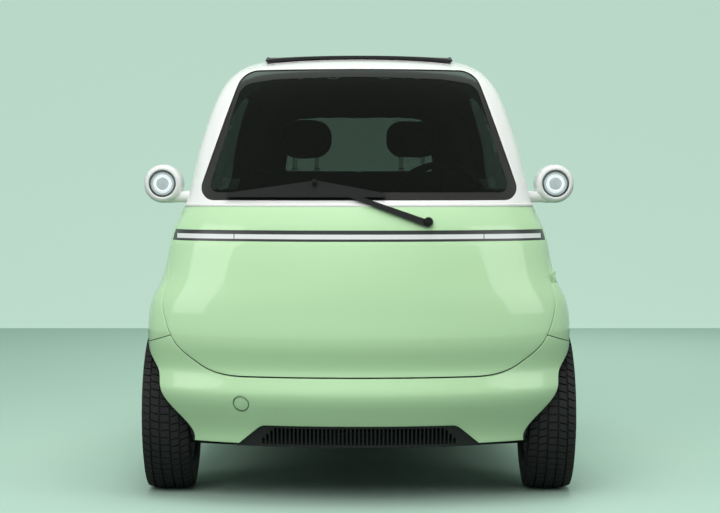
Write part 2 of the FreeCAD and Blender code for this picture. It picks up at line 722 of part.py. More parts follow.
def draw_profile(body, name, plane, corners):
    """A sketch of straight lines whose corners are bound to expressions of the sheet."""
    sketch = body.newObject("Sketcher::SketchObject", name)
    sketch.AttachmentSupport = (origin_plane(body, plane), [""])
    sketch.MapMode = "FlatFace"
    places = [Vector(*(float(sketch.evalExpression(in_sheet(side))) for side in corner), 0)
              for corner in corners]
    count = len(places)
    for index in range(count):
        sketch.addGeometry(Part.LineSegment(places[index], places[(index + 1) % count]))
    for index in range(count):
        sketch.addConstraint(Sketcher.Constraint("Coincident", index, 2, (index + 1) % count, 1))
    for index, (across, up) in enumerate(corners):
        for kind, value, expression in (("DistanceX", places[index].x, across),
                                        ("DistanceY", places[index].y, up)):
            number = sketch.addConstraint(Sketcher.Constraint(kind, -1, 1, index, 1, value))
            sketch.setExpression(f"Constraints[{number}]", in_sheet(expression))
    return sketch


def lathe(name, axis, corners):
    """A body turned from a closed profile in the XY plane, about X or about Y."""
    body = doc.addObject("PartDesign::Body", name)
    sketch = draw_profile(body, name + "_profile", "XY_Plane", corners)
    turn = body.newObject("PartDesign::Revolution", name + "_turn")
    turn.Profile = sketch
    turn.ReferenceAxis = (sketch, [{"X": "H_Axis", "Y": "V_Axis"}[axis]])
    turn.Angle = 360
    doc.recompute()
    return body


def make_tyre(label):
    tyre = lathe(label + "_body", "X", [
        ("-bead_half_width", "rim_radius"),
        ("-bead_half_width", "rim_radius + bead_height"),
        ("-tyre_width / 2", "rim_radius + 4 * bead_height"),
        ("-tyre_width / 2", "tyre_radius - 1.6 * tyre_shoulder"),
        ("-tyre_width / 2 + tyre_shoulder / 3", "tyre_radius - 0.6 * tyre_shoulder"),
        ("-tyre_width / 2 + tyre_shoulder", "tyre_radius - 0.1 * tyre_shoulder"),
        ("-tyre_width / 2 + 2 * tyre_shoulder", "tyre_radius"),
        ("tyre_width / 2 - 2 * tyre_shoulder", "tyre_radius"),
        ("tyre_width / 2 - tyre_shoulder", "tyre_radius - 0.1 * tyre_shoulder"),
        ("tyre_width / 2 - tyre_shoulder / 3", "tyre_radius - 0.6 * tyre_shoulder"),
        ("tyre_width / 2", "tyre_radius - 1.6 * tyre_shoulder"),
        ("tyre_width / 2", "rim_radius + 4 * bead_height"),
        ("bead_half_width", "rim_radius + bead_height"),
        ("bead_half_width", "rim_radius"),
    ])
    return keep(tyre, label)


def make_rim(label):
    """A rim with a dished centre, open between its spokes, and the hub with its bore."""
    rim = lathe(label + "_body", "X", [
        ("-bead_half_width - rim_lip", "rim_radius - rim_wall"),
        ("-bead_half_width - rim_lip", "rim_radius + rim_flange"),
        ("-bead_half_width", "rim_radius + rim_flange"),
        ("-bead_half_width", "rim_radius"),
        ("bead_half_width", "rim_radius"),
        ("bead_half_width", "rim_radius + rim_flange"),
        ("bead_half_width + rim_lip", "rim_radius + rim_flange"),
        ("bead_half_width + rim_lip", "rim_radius - rim_wall"),
        ("disc_offset + disc_thickness", "hub_radius + rim_wall"),
        ("hub_depth", "hub_radius"),
        ("hub_depth", "spindle_radius + running_gap"),
        ("0", "spindle_radius + running_gap"),
        ("0", "hub_radius"),
        ("disc_offset", "hub_radius + rim_wall"),
        ("bead_half_width - disc_thickness", "rim_radius - rim_wall"),
    ])
    window = draw_profile(rim, label + "_window_profile", "YZ_Plane", [
        ("-spoke_window_inner", "hub_radius + 2 * rim_wall"),
        ("-spoke_window_outer", "rim_radius - 3 * rim_wall"),
        ("spoke_window_outer", "rim_radius - 3 * rim_wall"),
        ("spoke_window_inner", "hub_radius + 2 * rim_wall"),
    ])
    pocket = rim.newObject("PartDesign::Pocket", label + "_window")
    pocket.Profile = window
    pocket.Type = 1
    pocket.Midplane = True
    doc.recompute()
    spokes = rim.newObject("PartDesign::PolarPattern", label + "_spokes")
    spokes.Originals = [pocket]
    spokes.Axis = (window, ["N_Axis"])
    spokes.Angle = 360
    bind(spokes, Occurrences="spoke_count")
    rim.Tip = spokes
    doc.recompute()
    return keep(rim, label)


WHEELS = (
    ("front_left", 1, "front_track", "front_overhang"),
    ("front_right", -1, "front_track", "front_overhang"),
    ("rear_left", 1, "rear_track", "front_overhang + wheelbase"),
    ("rear_right", -1, "rear_track", "front_overhang + wheelbase"),
)
for corner, side, track, behind_nose in WHEELS:
    facing = Rotation(Vector(0, 0, 1), 0 if side > 0 else 180)
    for piece in (make_tyre("tyre_" + corner), make_rim("rim_" + corner)):
        piece.Placement = Placement(Vector(0, 0, 0), facing)
        bind(piece, Placement__Base__x=f"{side} * {track} / 2",
             Placement__Base__y=f"{behind_nose} - overall_length / 2",
             Placement__Base__z="tyre_radius")

# Knuckles: kingpin, hub carrier and spindle
KINGPIN = dim.front_track / 2 - dim.kingpin_offset
for name, side in (("knuckle_left", 1), ("knuckle_right", -1)):
    kingpin = doc.addObject("Part::Cylinder", name + "_kingpin")
    bind(kingpin, Radius="kingpin_radius",
         Height="tyre_radius + upper_arm_rise - arm_height - arm_thickness - fit_gap",
         Placement__Base__x=f"{side} * (front_track / 2 - kingpin_offset)",
         Placement__Base__y="front_overhang - overall_length / 2",
         Placement__Base__z="arm_height + arm_thickness + fit_gap")
    carrier = doc.addObject("Part::Cylinder", name + "_carrier")
    spindle = doc.addObject("Part::Cylinder", name + "_spindle")
    for pin, radius, start, length in (
            (carrier, "knuckle_radius", "front_track / 2 - fit_gap - knuckle_depth", "knuckle_depth"),
            (spindle, "spindle_radius", "front_track / 2 - knuckle_depth",
             "knuckle_depth + hub_depth")):
        pin.Placement = Placement(Vector(0, 0, 0), Rotation(Vector(0, 1, 0), side * 90))
        bind(pin, Radius=radius, Height=length,
             Placement__Base__x=f"{side} * ({start})",
             Placement__Base__y="front_overhang - overall_length / 2",
             Placement__Base__z="tyre_radius")
    knuckle = doc.addObject("Part::MultiFuse", name + "_fuse")
    knuckle.Shapes = [kingpin, carrier, spindle]
    doc.recompute()
    keep(knuckle, name)

# Front suspension: a ring frame under the floor with lower arms, and two upper arms
frame_low = dim.arm_height
frame_high = dim.body_bottom - dim.fit_gap
ring = block((-dim.subframe_half_width, FRONT_AXLE - dim.arm_spread, frame_low),
             (dim.subframe_half_width, FRONT_AXLE + dim.arm_spread, frame_high))
rail = dim.subframe_depth / 2
ring = ring.cut(block((-dim.subframe_half_width + rail, FRONT_AXLE - dim.arm_spread + rail, 0),
                      (dim.subframe_half_width - rail, FRONT_AXLE + dim.arm_spread - rail,
                       dim.roof_height)))


def wishbone(root, root_half_width, low, thickness):
    """A flat arm from its root out to the kingpin, open in the middle, and its mirror image."""
    tip_end = KINGPIN + dim.kingpin_radius
    outline = [(root, -root_half_width), (tip_end, -dim.arm_half_width),
               (tip_end, dim.arm_half_width), (root, root_half_width)]
    turns = (0, dim.kingpin_radius, dim.kingpin_radius, 0)
    wire = rounded_outline([(Vector(x, FRONT_AXLE + y, low), turn)
                            for (x, y), turn in zip(outline, turns)])
    arm = Part.Face(wire).extrude(Vector(0, 0, thickness))
    opening_start = root + dim.arm_half_width
    opening_end = KINGPIN - 2 * dim.kingpin_radius
    slope = (root_half_width - dim.arm_half_width) / (tip_end - root)
    edge = dim.kingpin_radius
    hole = [(x, sign * max(edge / 2, root_half_width - slope * (x - root) - edge))
            for x, sign in ((opening_start, -1), (opening_end, -1), (opening_end, 1),
                            (opening_start, 1))]
    hole_wire = rounded_outline([(Vector(x, FRONT_AXLE + y, 0), edge / 3) for x, y in hole])
    arm = arm.cut(Part.Face(hole_wire).extrude(Vector(0, 0, dim.roof_height)))
    return both_sides(arm)


lower_arms = wishbone(dim.subframe_half_width - rail / 2, dim.arm_spread, dim.arm_height,
                      dim.arm_thickness)
upper_root = dim.front_house_inside + dim.liner_thickness + 2 * dim.fit_gap
upper_arms = wishbone(upper_root, 2 * dim.arm_half_width,
                      dim.tyre_radius + dim.upper_arm_rise + dim.fit_gap, dim.arm_thickness)
front_suspension = ring.fuse(lower_arms)
add("front_suspension", Part.makeCompound([front_suspension] + upper_arms))

# Rear axle: a cross beam with its spindles and two trailing arms
beam_end = dim.rear_house_inside - dim.fit_gap
beam = bar_across(dim.beam_radius, REAR_AXLE, dim.tyre_radius, -beam_end, beam_end)
spindle_end = dim.rear_track / 2 + dim.hub_depth
spindles = [bar_across(dim.spindle_radius, REAR_AXLE, dim.tyre_radius, -spindle_end, spindle_end)]
arm_low = dim.tyre_radius - dim.trailing_arm_depth / 2
trailing = [block((side * dim.trailing_arm_across - dim.trailing_arm_width / 2,
                   riser_back + dim.fit_gap, arm_low),
                  (side * dim.trailing_arm_across + dim.trailing_arm_width / 2, REAR_AXLE,
                   arm_low + dim.trailing_arm_depth))
            for side in (-1, 1)]
add("rear_axle", beam.fuse(spindles + trailing))

motor = doc.addObject("Part::Cylinder", "motor_case")
motor.Placement = Placement(Vector(0, 0, 0), Rotation(Vector(0, 1, 0), 90))
bind(motor, Radius="motor_radius", Height="motor_length",
     Placement__Base__x="-motor_length / 2", Placement__Base__y="motor_place",
     Placement__Base__z="motor_height")
bracket = doc.addObject("Part::Box", "motor_bracket")
bind(bracket, Length="2 * motor_bracket", Width="motor_bracket",
     Height="luggage_floor - fit_gap - motor_height",
     Placement__Base__x="-motor_bracket", Placement__Base__y="motor_place - motor_bracket / 2",
     Placement__Base__z="motor_height")
drive = doc.addObject("Part::MultiFuse", "motor_fuse")
drive.Shapes = [motor, bracket]
doc.recompute()
keep(drive, "drive_motor")

# Seat: plinth over the battery, cushion, back and headrests
plinth_outer = doc.addObject("Part::Box", "plinth_outer")
bind(plinth_outer, Length="plinth_width", Width="seat_depth",
     Height="seat_top - cushion_thickness - 2 * fit_gap - body_bottom - floor_thickness",
     Placement__Base__x="-plinth_width / 2", Placement__Base__y="seat_front",
     Placement__Base__z="body_bottom + floor_thickness + fit_gap")
plinth_inner = doc.addObject("Part::Box", "plinth_inner")
bind(plinth_inner, Length="plinth_width - 2 * plinth_wall", Width="seat_depth - 2 * plinth_wall",
     Height="seat_top - cushion_thickness - body_bottom - floor_thickness - plinth_wall",
     Placement__Base__x="plinth_wall - plinth_width / 2",
     Placement__Base__y="seat_front + plinth_wall",
     Placement__Base__z="body_bottom + floor_thickness - fit_gap")
plinth = doc.addObject("Part::Cut", "plinth_cut")
plinth.Base = plinth_outer
plinth.Tool = plinth_inner
doc.recompute()

battery = doc.addObject("Part::Box", "battery_box")
bind(battery, Length="plinth_width - 2 * plinth_wall - 2 * battery_margin",
     Width="seat_depth - 2 * plinth_wall - 2 * battery_margin",
     Height="seat_top - cushion_thickness - body_bottom - floor_thickness - 2 * plinth_wall"
            " - battery_margin",
     Placement__Base__x="plinth_wall + battery_margin - plinth_width / 2",
     Placement__Base__y="seat_front + plinth_wall + battery_margin",
     Placement__Base__z="body_bottom + floor_thickness + fit_gap")
doc.recompute()
keep(battery, "battery_pack")


def rounded(thing, name, radius):
    """A Part fillet over every edge of a box-like object."""
    doc.recompute()
    rounding = doc.addObject("Part::Fillet", name)
    rounding.Base = thing
    turn = float(thing.evalExpression(in_sheet(radius)))
    rounding.Edges = [(number, turn, turn) for number in range(1, len(thing.Shape.Edges) + 1)]
    doc.recompute()
    return rounding


cushion = doc.addObject("Part::Box", "cushion_box")
bind(cushion, Length="seat_width", Width="seat_depth", Height="cushion_thickness",
     Placement__Base__x="-seat_width / 2", Placement__Base__y="seat_front",
     Placement__Base__z="seat_top - cushion_thickness")
keep(rounded(cushion, "cushion_rounding", "seat_soft_round"), "seat_base")

back_start = dim.seat_front + dim.seat_depth - dim.back_thickness
back_low = dim.seat_top + dim.fit_gap
back_face = Part.Face(Part.makePolygon([
    Vector(-dim.back_width / 2, back_start, back_low),
    Vector(-dim.back_width / 2, back_start + dim.back_thickness, back_low),
    Vector(-dim.back_width / 2, back_start + dim.back_thickness + dim.back_rake, dim.back_height),
    Vector(-dim.back_width / 2, back_start + dim.back_rake, dim.back_height),
    Vector(-dim.back_width / 2, back_start, back_low),
]))
back = back_face.extrude(Vector(dim.back_width, 0, 0))
back = back.makeFillet(dim.seat_soft_round, back.Edges)
add("seat_back", back)

pads_above = []
posts = []
for side in (-1, 1):
    name = "headrest_" + ("right" if side < 0 else "left")
    pad = doc.addObject("Part::Box", name)
    bind(pad, Length="headrest_width", Width="headrest_thick", Height="headrest_tall",
         Placement__Base__x=f"{side} * headrest_across - headrest_width / 2",
         Placement__Base__y="headrest_place - headrest_thick / 2",
         Placement__Base__z="headrest_height - headrest_tall / 2")
    pads_above.append(rounded(pad, name + "_rounding", "headrest_thick / 2 - 4 * fit_gap"))
    for step in (-1, 1):
        foot = Vector(side * dim.headrest_across + step * dim.post_spacing / 2,
                      dim.headrest_place, dim.back_height + dim.fit_gap)
        top = dim.headrest_height - dim.headrest_tall / 2 - dim.fit_gap
        posts.append(Part.makeCylinder(dim.post_radius, top - foot.z, foot))
headrests = doc.addObject("Part::Compound", "headrest_pair")
headrests.Links = pads_above
doc.recompute()
keep(headrests, "headrests")
post_group = doc.addObject("Part::Feature", "headrest_posts")
post_group.Shape = Part.makeCompound(posts)
seat_frame = doc.addObject("Part::Compound", "seat_frame_pieces")
seat_frame.Links = [plinth, post_group]
doc.recompute()
keep(seat_frame, "seat_frame")

# Steering wheel on its column, and the column's post on the floor
COLUMN_TURN = Rotation(Vector(1, 0, 0), dim.column_tilt - 90)
COLUMN_PLACE = Placement(Vector(dim.column_across, dim.wheel_place, dim.wheel_height), COLUMN_TURN)
hub = Part.makeCylinder(dim.wheel_hub_radius, dim.wheel_hub_depth,
                        Vector(0, 0, -dim.wheel_hub_depth / 2))
ring_grip = Part.makeTorus(dim.wheel_rim_radius, dim.wheel_rim_tube)
spoke_half = dim.wheel_rim_tube
arms = []
for turn in (0, 180, 270):
    arm = block((0, -spoke_half, -spoke_half / 2),
                (dim.wheel_rim_radius, spoke_half, spoke_half / 2))
    arms.append(arm.rotate(Vector(0, 0, 0), Vector(0, 0, 1), turn))
bore = Part.makeCylinder(dim.shaft_radius + dim.running_gap, 2 * dim.wheel_hub_depth,
                         Vector(0, 0, -dim.wheel_hub_depth))
wheel = hub.fuse([ring_grip] + arms).cut(bore)
wheel.Placement = COLUMN_PLACE
add("steering_wheel", wheel)

column_top = -dim.wheel_hub_depth / 2 - dim.panel_gap
column = Part.makeCylinder(dim.column_radius, dim.column_length,
                           Vector(0, 0, column_top - dim.column_length))
shaft = Part.makeCylinder(dim.shaft_radius, dim.wheel_hub_depth + dim.panel_gap,
                          Vector(0, 0, column_top))
column = column.fuse(shaft)
column.Placement = COLUMN_PLACE
column_foot = COLUMN_PLACE.multVec(Vector(0, 0, column_top - dim.column_length))
post = block((dim.column_across - dim.column_post_width / 2, column_foot.y,
              FLOOR_TOP + dim.fit_gap),
             (dim.column_across + dim.column_post_width / 2,
              column_foot.y + dim.column_post_depth, column_foot.z + dim.column_radius / 2))
add("steering_column", column.fuse(post))

# Floor pedals
pedals = []
for step in (-1, 1):
    low = FLOOR_TOP + dim.fit_gap
    thick = dim.pedal_thickness
    face = Part.Face(Part.makePolygon([
        Vector(0, dim.pedal_place, low + dim.pedal_height),
        Vector(0, dim.pedal_place + thick, low + dim.pedal_height + thick),
        Vector(0, dim.pedal_place + dim.pedal_height, low + thick),
        Vector(0, dim.pedal_place + dim.pedal_height + thick, low),
        Vector(0, dim.pedal_place + dim.pedal_height - thick, low),
        Vector(0, dim.pedal_place, low + dim.pedal_height),
    ]))
    pedal = face.extrude(Vector(dim.pedal_width, 0, 0))
    pedal.translate(Vector(dim.column_across + step * dim.pedal_spacing / 2
                           - dim.pedal_width / 2, 0, 0))
    pedals.append(pedal)
add("pedals", Part.makeCompound(pedals))

# Lamp pods on both front pillars: a lens in front and a mirror glass behind
pod = lathe("pod_barrel", "Y", [
    ("0", "lens_depth + fit_gap"),
    ("lens_radius + fit_gap", "lens_depth + fit_gap"),
    ("lens_radius + fit_gap", "0"),
    ("lens_radius + pod_round / 4", "0"),
    ("pod_radius - pod_round / 4", "pod_round / 2"),
    ("pod_radius", "1.5 * pod_round"),
    ("pod_radius", "pod_length - pod_round"),
    ("pod_radius - pod_round / 3", "pod_length"),
    ("mirror_radius + fit_gap", "pod_length"),
    ("mirror_radius + fit_gap", "pod_length - mirror_depth - fit_gap"),
    ("0", "pod_length - mirror_depth - fit_gap"),
])
lens = lathe("lens_disc", "Y", [
    ("0", "0"),
    ("lens_radius - lens_depth / 2", "fit_gap"),
    ("lens_radius", "lens_depth / 2"),
    ("lens_radius", "lens_depth"),
    ("0", "lens_depth"),
])
mirror = lathe("mirror_disc", "Y", [
    ("0", "pod_length - mirror_depth"),
    ("mirror_radius", "pod_length - mirror_depth"),
    ("mirror_radius", "pod_length"),
    ("0", "pod_length"),
])
for piece in (pod, lens, mirror):
    bind(piece, Placement__Base__x="pod_across", Placement__Base__y="pod_place",
         Placement__Base__z="pod_height")
doc.recompute()
stalk = Part.makeCylinder(dim.stalk_radius, dim.pod_across,
                          Vector(0, dim.pod_place + 2 * dim.stalk_radius,
                                 dim.pod_height - dim.stalk_drop), Vector(1, 0, 0))
housing = pod.Shape.fuse(stalk.cut(hull(-dim.fit_gap)))
add("lamp_pods", Part.makeCompound(both_sides(housing)))
for label, piece in (("lamp_lenses", lens), ("mirror_glasses", mirror)):
    opposite = doc.addObject("Part::Mirroring", label + "_opposite")
    opposite.Source = piece
    opposite.Normal = Vector(1, 0, 0)
    pair = doc.addObject("Part::Compound", label + "_pair")
    pair.Links = [piece, opposite]
    doc.recompute()
    keep(pair, label)

doc.recompute()
for thing in doc.Objects:
    if "Invalid" in thing.State or "Error" in thing.State:
        raise RuntimeError(f"{thing.Label} did not rebuild: {thing.State}")
os.makedirs("parts", exist_ok=True)
for node in NODES:
    if node.Shape.isNull() or not node.Shape.isValid():
        raise RuntimeError(f"{node.Label} has no valid shape")
for node in NODES:
    node.Shape.exportStep(f"parts/{node.Label}.step")
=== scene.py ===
import json
import math

import bpy
import numpy as np
from bpy.props import FloatProperty, FloatVectorProperty, IntProperty, PointerProperty
from mathutils import Matrix, Vector


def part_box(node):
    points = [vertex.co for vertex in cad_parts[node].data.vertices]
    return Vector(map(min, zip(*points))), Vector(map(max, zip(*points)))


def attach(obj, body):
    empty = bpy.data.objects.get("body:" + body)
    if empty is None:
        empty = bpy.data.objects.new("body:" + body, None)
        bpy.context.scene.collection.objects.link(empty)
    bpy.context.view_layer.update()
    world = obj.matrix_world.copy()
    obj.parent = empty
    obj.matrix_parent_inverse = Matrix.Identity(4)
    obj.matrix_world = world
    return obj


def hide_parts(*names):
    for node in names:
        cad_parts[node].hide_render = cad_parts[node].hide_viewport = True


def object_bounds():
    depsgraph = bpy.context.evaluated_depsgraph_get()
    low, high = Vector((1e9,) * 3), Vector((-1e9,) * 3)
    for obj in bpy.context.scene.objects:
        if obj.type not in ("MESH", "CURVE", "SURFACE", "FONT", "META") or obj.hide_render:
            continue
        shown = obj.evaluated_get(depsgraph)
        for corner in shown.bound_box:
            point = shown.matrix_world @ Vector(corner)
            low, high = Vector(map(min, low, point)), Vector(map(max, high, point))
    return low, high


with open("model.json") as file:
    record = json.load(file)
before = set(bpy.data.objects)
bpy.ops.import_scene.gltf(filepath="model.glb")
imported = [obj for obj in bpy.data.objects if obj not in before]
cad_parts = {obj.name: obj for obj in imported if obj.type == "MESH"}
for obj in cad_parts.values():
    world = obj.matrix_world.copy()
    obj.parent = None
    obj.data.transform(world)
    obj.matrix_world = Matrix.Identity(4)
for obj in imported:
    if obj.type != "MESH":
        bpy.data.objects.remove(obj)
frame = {"nodes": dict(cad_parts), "record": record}
CAD_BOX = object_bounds()
NODES = frame["nodes"]
BODY_OF = {node: body for body, nodes in frame["record"]["behaviour"]["bodies"].items() for node in nodes}
SLOT_OF = {part["node"]: part["material_slot"] for part in frame["record"]["subparts"]}

bl_info = {
    "name": "Two-seat microcar",
    "version": (1, 0, 0),
    "blender": (4, 5, 0),
    "location": "3D View > Sidebar > Microcar",
    "description": "Finishes a two-tone electric microcar around its packed frame",
    "category": "Object",
}

MM = 0.001
SIDES = (1, -1)
WHEELS = ("front_left", "front_right", "rear_left", "rear_right")
# How near a point lies to a rim or a middle plane to count as on it
NEAR = 1 * MM
# Least angle, in degrees, that stays a sharp edge on padded, turned and cut pieces
PADDED, TURNED, CUT = 60, 40, 30


def linear(code):
    """An sRGB hex colour as linear red, green, blue and alpha."""
    shares = [int(code[at:at + 2], 16) / 255 for at in (1, 3, 5)]
    return tuple(share / 12.92 if share <= 0.04045 else ((share + 0.055) / 1.055) ** 2.4
                 for share in shares) + (1.0,)


def colour_setting(name, code):
    return FloatVectorProperty(name=name, description=name + " as linear colour", subtype="COLOR",
                               size=4, min=0, max=1, default=linear(code))


def length_setting(name, millimetres):
    return FloatProperty(name=name, description=name + ", in metres", unit="LENGTH", min=0,
                         default=millimetres * MM)


class MicrocarColours(bpy.types.PropertyGroup):
    """Colours that an owner may choose."""
    lower_paint: colour_setting("Lower body paint", "#C6EDBB")
    upper_paint: colour_setting("Roof and pillar paint", "#F6F6F4")
    seat_cloth: colour_setting("Seat cloth", "#2B2B2D")
    roof_cloth: colour_setting("Roof cloth", "#2A2A2C")
    backdrop: colour_setting("Studio backdrop", "#C9E8D8")


class MicrocarSizes(bpy.types.PropertyGroup):
    """Sizes of the trim that the frame leaves open."""
    panel_edge: length_setting("Rounding of the panel edges", 2.0)
    tread_depth: length_setting("Depth of the tyre tread", 6.5)
    tread_gap: length_setting("Gap between tread blocks", 4.5)
    tread_pitches: IntProperty(name="Tread pitches", description="Tread blocks round one tyre",
                               default=64, min=12)
    frit_width: length_setting("Width of the windscreen's black border", 34)
    window_seal: length_setting("Radius of the rubber round the windows", 4)
    surround_lip: length_setting("Radius of the windscreen surround's lower lip", 8)
    headrest_width: length_setting("Width of a headrest", 226)
    cloth_swell: length_setting("Most that a cushion swells", 14)


def colours():
    return bpy.context.scene.microcar_colours


def sizes():
    return bpy.context.scene.microcar_sizes


# Materials

def connect(tree, shader, inputs):
    """Fills a shader's inputs, each with a value or with another node's output."""
    for name, value in inputs.items():
        if isinstance(value, bpy.types.NodeSocket):
            tree.links.new(value, shader.inputs[name])
        else:
            shader.inputs[name].default_value = value


def add_node(tree, kind, inputs=None, **settings):
    """Adds a shader node with its settings and links."""
    made = tree.nodes.new(kind)
    for name, value in settings.items():
        setattr(made, name, value)
    connect(tree, made, inputs or {})
    return made


def new_tree(owner):
    """The empty node tree of a new material or world."""
    owner.use_nodes = True
    owner.node_tree.nodes.clear()
    return owner.node_tree


def finish_named(name):
    """A new material with its tree, its surface shader and its place on the piece."""
    material = bpy.data.materials.new(name)
    tree = new_tree(material)
    surface = add_node(tree, "ShaderNodeBsdfPrincipled")
    add_node(tree, "ShaderNodeOutputMaterial", {"Surface": surface.outputs["BSDF"]})
    place = add_node(tree, "ShaderNodeTexCoord").outputs["Object"]
    return material, tree, surface, place


def per_metre(millimetres):
    """How many times a pattern of a real size repeats in a metre."""
    return 1 / (millimetres * MM)


def shaded(colour, share):
    """A colour made darker or lighter by a share of its value."""
    return tuple(min(1, part * share) for part in colour[:3]) + (1.0,)


def varied(tree, place, colour, patch_mm, amount):
    """A colour that drifts a little in value from patch to patch of a real size."""
    cloud = add_node(tree, "ShaderNodeTexNoise", {"Vector": place, "Scale": per_metre(patch_mm),
                                                  "Detail": 3.0})
    return add_node(tree, "ShaderNodeMix", {0: cloud.outputs["Fac"], 6: shaded(colour, 1 - amount),
                                            7: shaded(colour, 1 + amount)}, data_type="RGBA").outputs[2]


def relief(tree, place, grain_mm, depth_mm, strength, detail=2.0, roughness=0.5):
    """A surface normal that follows a fine uneven grain of a real size and depth."""
    grain = add_node(tree, "ShaderNodeTexNoise", {"Vector": place, "Scale": per_metre(grain_mm),
                                                  "Detail": detail, "Roughness": roughness})
    return add_node(tree, "ShaderNodeBump", {"Height": grain.outputs["Fac"], "Distance": depth_mm * MM,
                                             "Strength": strength}).outputs["Normal"]


def car_paint(name, colour):
    """Solid colour coat under clear lacquer: an even body colour, a sharp second highlight and
    the faint waviness of sprayed lacquer, about 4 mm from crest to crest."""
    material, tree, surface, place = finish_named(name)
    connect(tree, surface, {
        "Base Color": varied(tree, place, colour, 333, 0.012), "Roughness": 0.42, "IOR": 1.5,
        "Coat Weight": 1.0, "Coat Roughness": 0.04, "Coat IOR": 1.5,
        "Coat Normal": relief(tree, place, 4, 0.01, 0.4, 1.0)})
    return material


def moulded_plastic(name, code, roughness=0.55, grain_mm=1.2, depth_mm=0.08):
    """Injection-moulded ABS with an etched grain that scatters its highlight."""
    material, tree, surface, place = finish_named(name)
    grain = add_node(tree, "ShaderNodeTexVoronoi", {"Vector": place, "Scale": per_metre(grain_mm)},
                     feature="SMOOTH_F1")
    etched = add_node(tree, "ShaderNodeBump", {"Height": grain.outputs["Distance"],
                                               "Distance": depth_mm * MM, "Strength": 0.6})
    uneven = add_node(tree, "ShaderNodeTexNoise", {"Vector": place, "Scale": per_metre(71.4),
                                                   "Detail": 4.0})
    gloss = add_node(tree, "ShaderNodeMapRange", {"Value": uneven.outputs["Fac"],
                                                  "To Min": roughness - 0.05, "To Max": roughness + 0.07})
    connect(tree, surface, {
        "Base Color": varied(tree, place, linear(code), 111, 0.06), "IOR": 1.53,
        "Roughness": gloss.outputs["Result"], "Normal": etched.outputs["Normal"]})
    return material


def gloss_plastic(name, code, roughness=0.12):
    """Polished polycarbonate: an even colour with a clean, slightly soft highlight."""
    material, tree, surface, place = finish_named(name)
    connect(tree, surface, {
        "Base Color": varied(tree, place, linear(code), 167, 0.015), "IOR": 1.58,
        "Roughness": roughness, "Normal": relief(tree, place, 30, 0.05, 0.3, 1.0)})
    return material


def light_cover(name, code, glow):
    """Opal acrylic over a light guide: white right through, and faintly lit from behind. In the lamp pods
    the same glow is painted light on the bowl, ring and disc.
    """
    material, tree, surface, place = finish_named(name)
    colour = linear(code)
    connect(tree, surface, {
        "Base Color": varied(tree, place, colour, 50, 0.01), "IOR": 1.49, "Roughness": 0.2,
        "Emission Color": colour, "Emission Strength": glow})
    return material


def tinted_glass(name, code):
    """Laminated float glass with a grey tint: clear and flat, darker through its two panes."""
    material, tree, surface, place = finish_named(name)
    connect(tree, surface, {
        "Base Color": varied(tree, place, linear(code), 500, 0.01), "IOR": 1.45, "Roughness": 0.0,
        "Transmission Weight": 1.0, "Normal": relief(tree, place, 400, 0.2, 0.1, 1.0)})
    return material


def enamel_border(name, code):
    """Ceramic enamel fired onto the glass edge: near-black and satin, under the glass's gloss."""
    material, tree, surface, place = finish_named(name)
    connect(tree, surface, {
        "Base Color": varied(tree, place, linear(code), 25, 0.04), "IOR": 1.52, "Roughness": 0.3,
        "Coat Weight": 1.0, "Coat Roughness": 0.02, "Normal": relief(tree, place, 1.5, 0.02, 0.3)})
    return material


def woven_cloth(name, colour, thread_mm, depth_mm, sheen=0.3):
    """Plain-weave cloth: crossed threads, drawn as coarse as they need to be to show, with sheen."""
    material, tree, surface, place = finish_named(name)
    # Bands at scale 1 turn through 20 radians in a metre, and one thread takes half a turn
    bands_scale = math.pi / (thread_mm * MM) / 20
    weave = None
    for direction in ("X", "Y", "Z"):
        threads = add_node(tree, "ShaderNodeTexWave",
                           {"Vector": place, "Scale": bands_scale, "Distortion": 0.6, "Detail": 1.0},
                           wave_type="BANDS", bands_direction=direction).outputs["Fac"]
        if weave is None:
            weave = threads
        else:
            weave = add_node(tree, "ShaderNodeMath", {0: weave, 1: threads},
                             operation="MAXIMUM").outputs[0]
    fibres = relief(tree, place, 0.8, depth_mm / 3, 0.5, 3.0)
    woven = add_node(tree, "ShaderNodeBump", {"Height": weave, "Distance": depth_mm * MM,
                                              "Strength": 0.7, "Normal": fibres})
    connect(tree, surface, {
        "Base Color": varied(tree, place, colour, 143, 0.12), "Roughness": 0.85, "IOR": 1.45,
        "Sheen Weight": sheen, "Sheen Roughness": 0.45, "Normal": woven.outputs["Normal"]})
    return material


def tyre_rubber(name):
    """Vulcanised rubber: charcoal, dull on the tread and a little shinier where the mould was smooth,
    with faint dust from the road."""
    material, tree, surface, place = finish_named(name)
    dust = add_node(tree, "ShaderNodeTexNoise", {"Vector": place, "Scale": per_metre(45.5),
                                                 "Detail": 6.0, "Roughness": 0.65}).outputs["Fac"]
    tint = add_node(tree, "ShaderNodeMix", {0: dust, 6: linear("#1B1A1B"), 7: linear("#2C2A2B")},
                    data_type="RGBA")
    gloss = add_node(tree, "ShaderNodeMapRange", {"Value": dust, "To Min": 0.58, "To Max": 0.82})
    connect(tree, surface, {
        "Base Color": tint.outputs[2], "IOR": 1.52, "Roughness": gloss.outputs["Result"],
        "Normal": relief(tree, place, 0.9, 0.15, 0.5, 3.0)})
    return material


def cast_alloy(name, code, roughness=0.32):
    """Cast aluminium under silver lacquer: fine sparkle, with an even soft reflection."""
    material, tree, surface, place = finish_named(name)
    connect(tree, surface, {
        "Base Color": varied(tree, place, linear(code), 62.5, 0.03), "Metallic": 0.9,
        "Roughness": roughness, "Coat Weight": 0.6, "Coat Roughness": 0.1,
        "Normal": relief(tree, place, 0.7, 0.02, 0.4)})
    return material


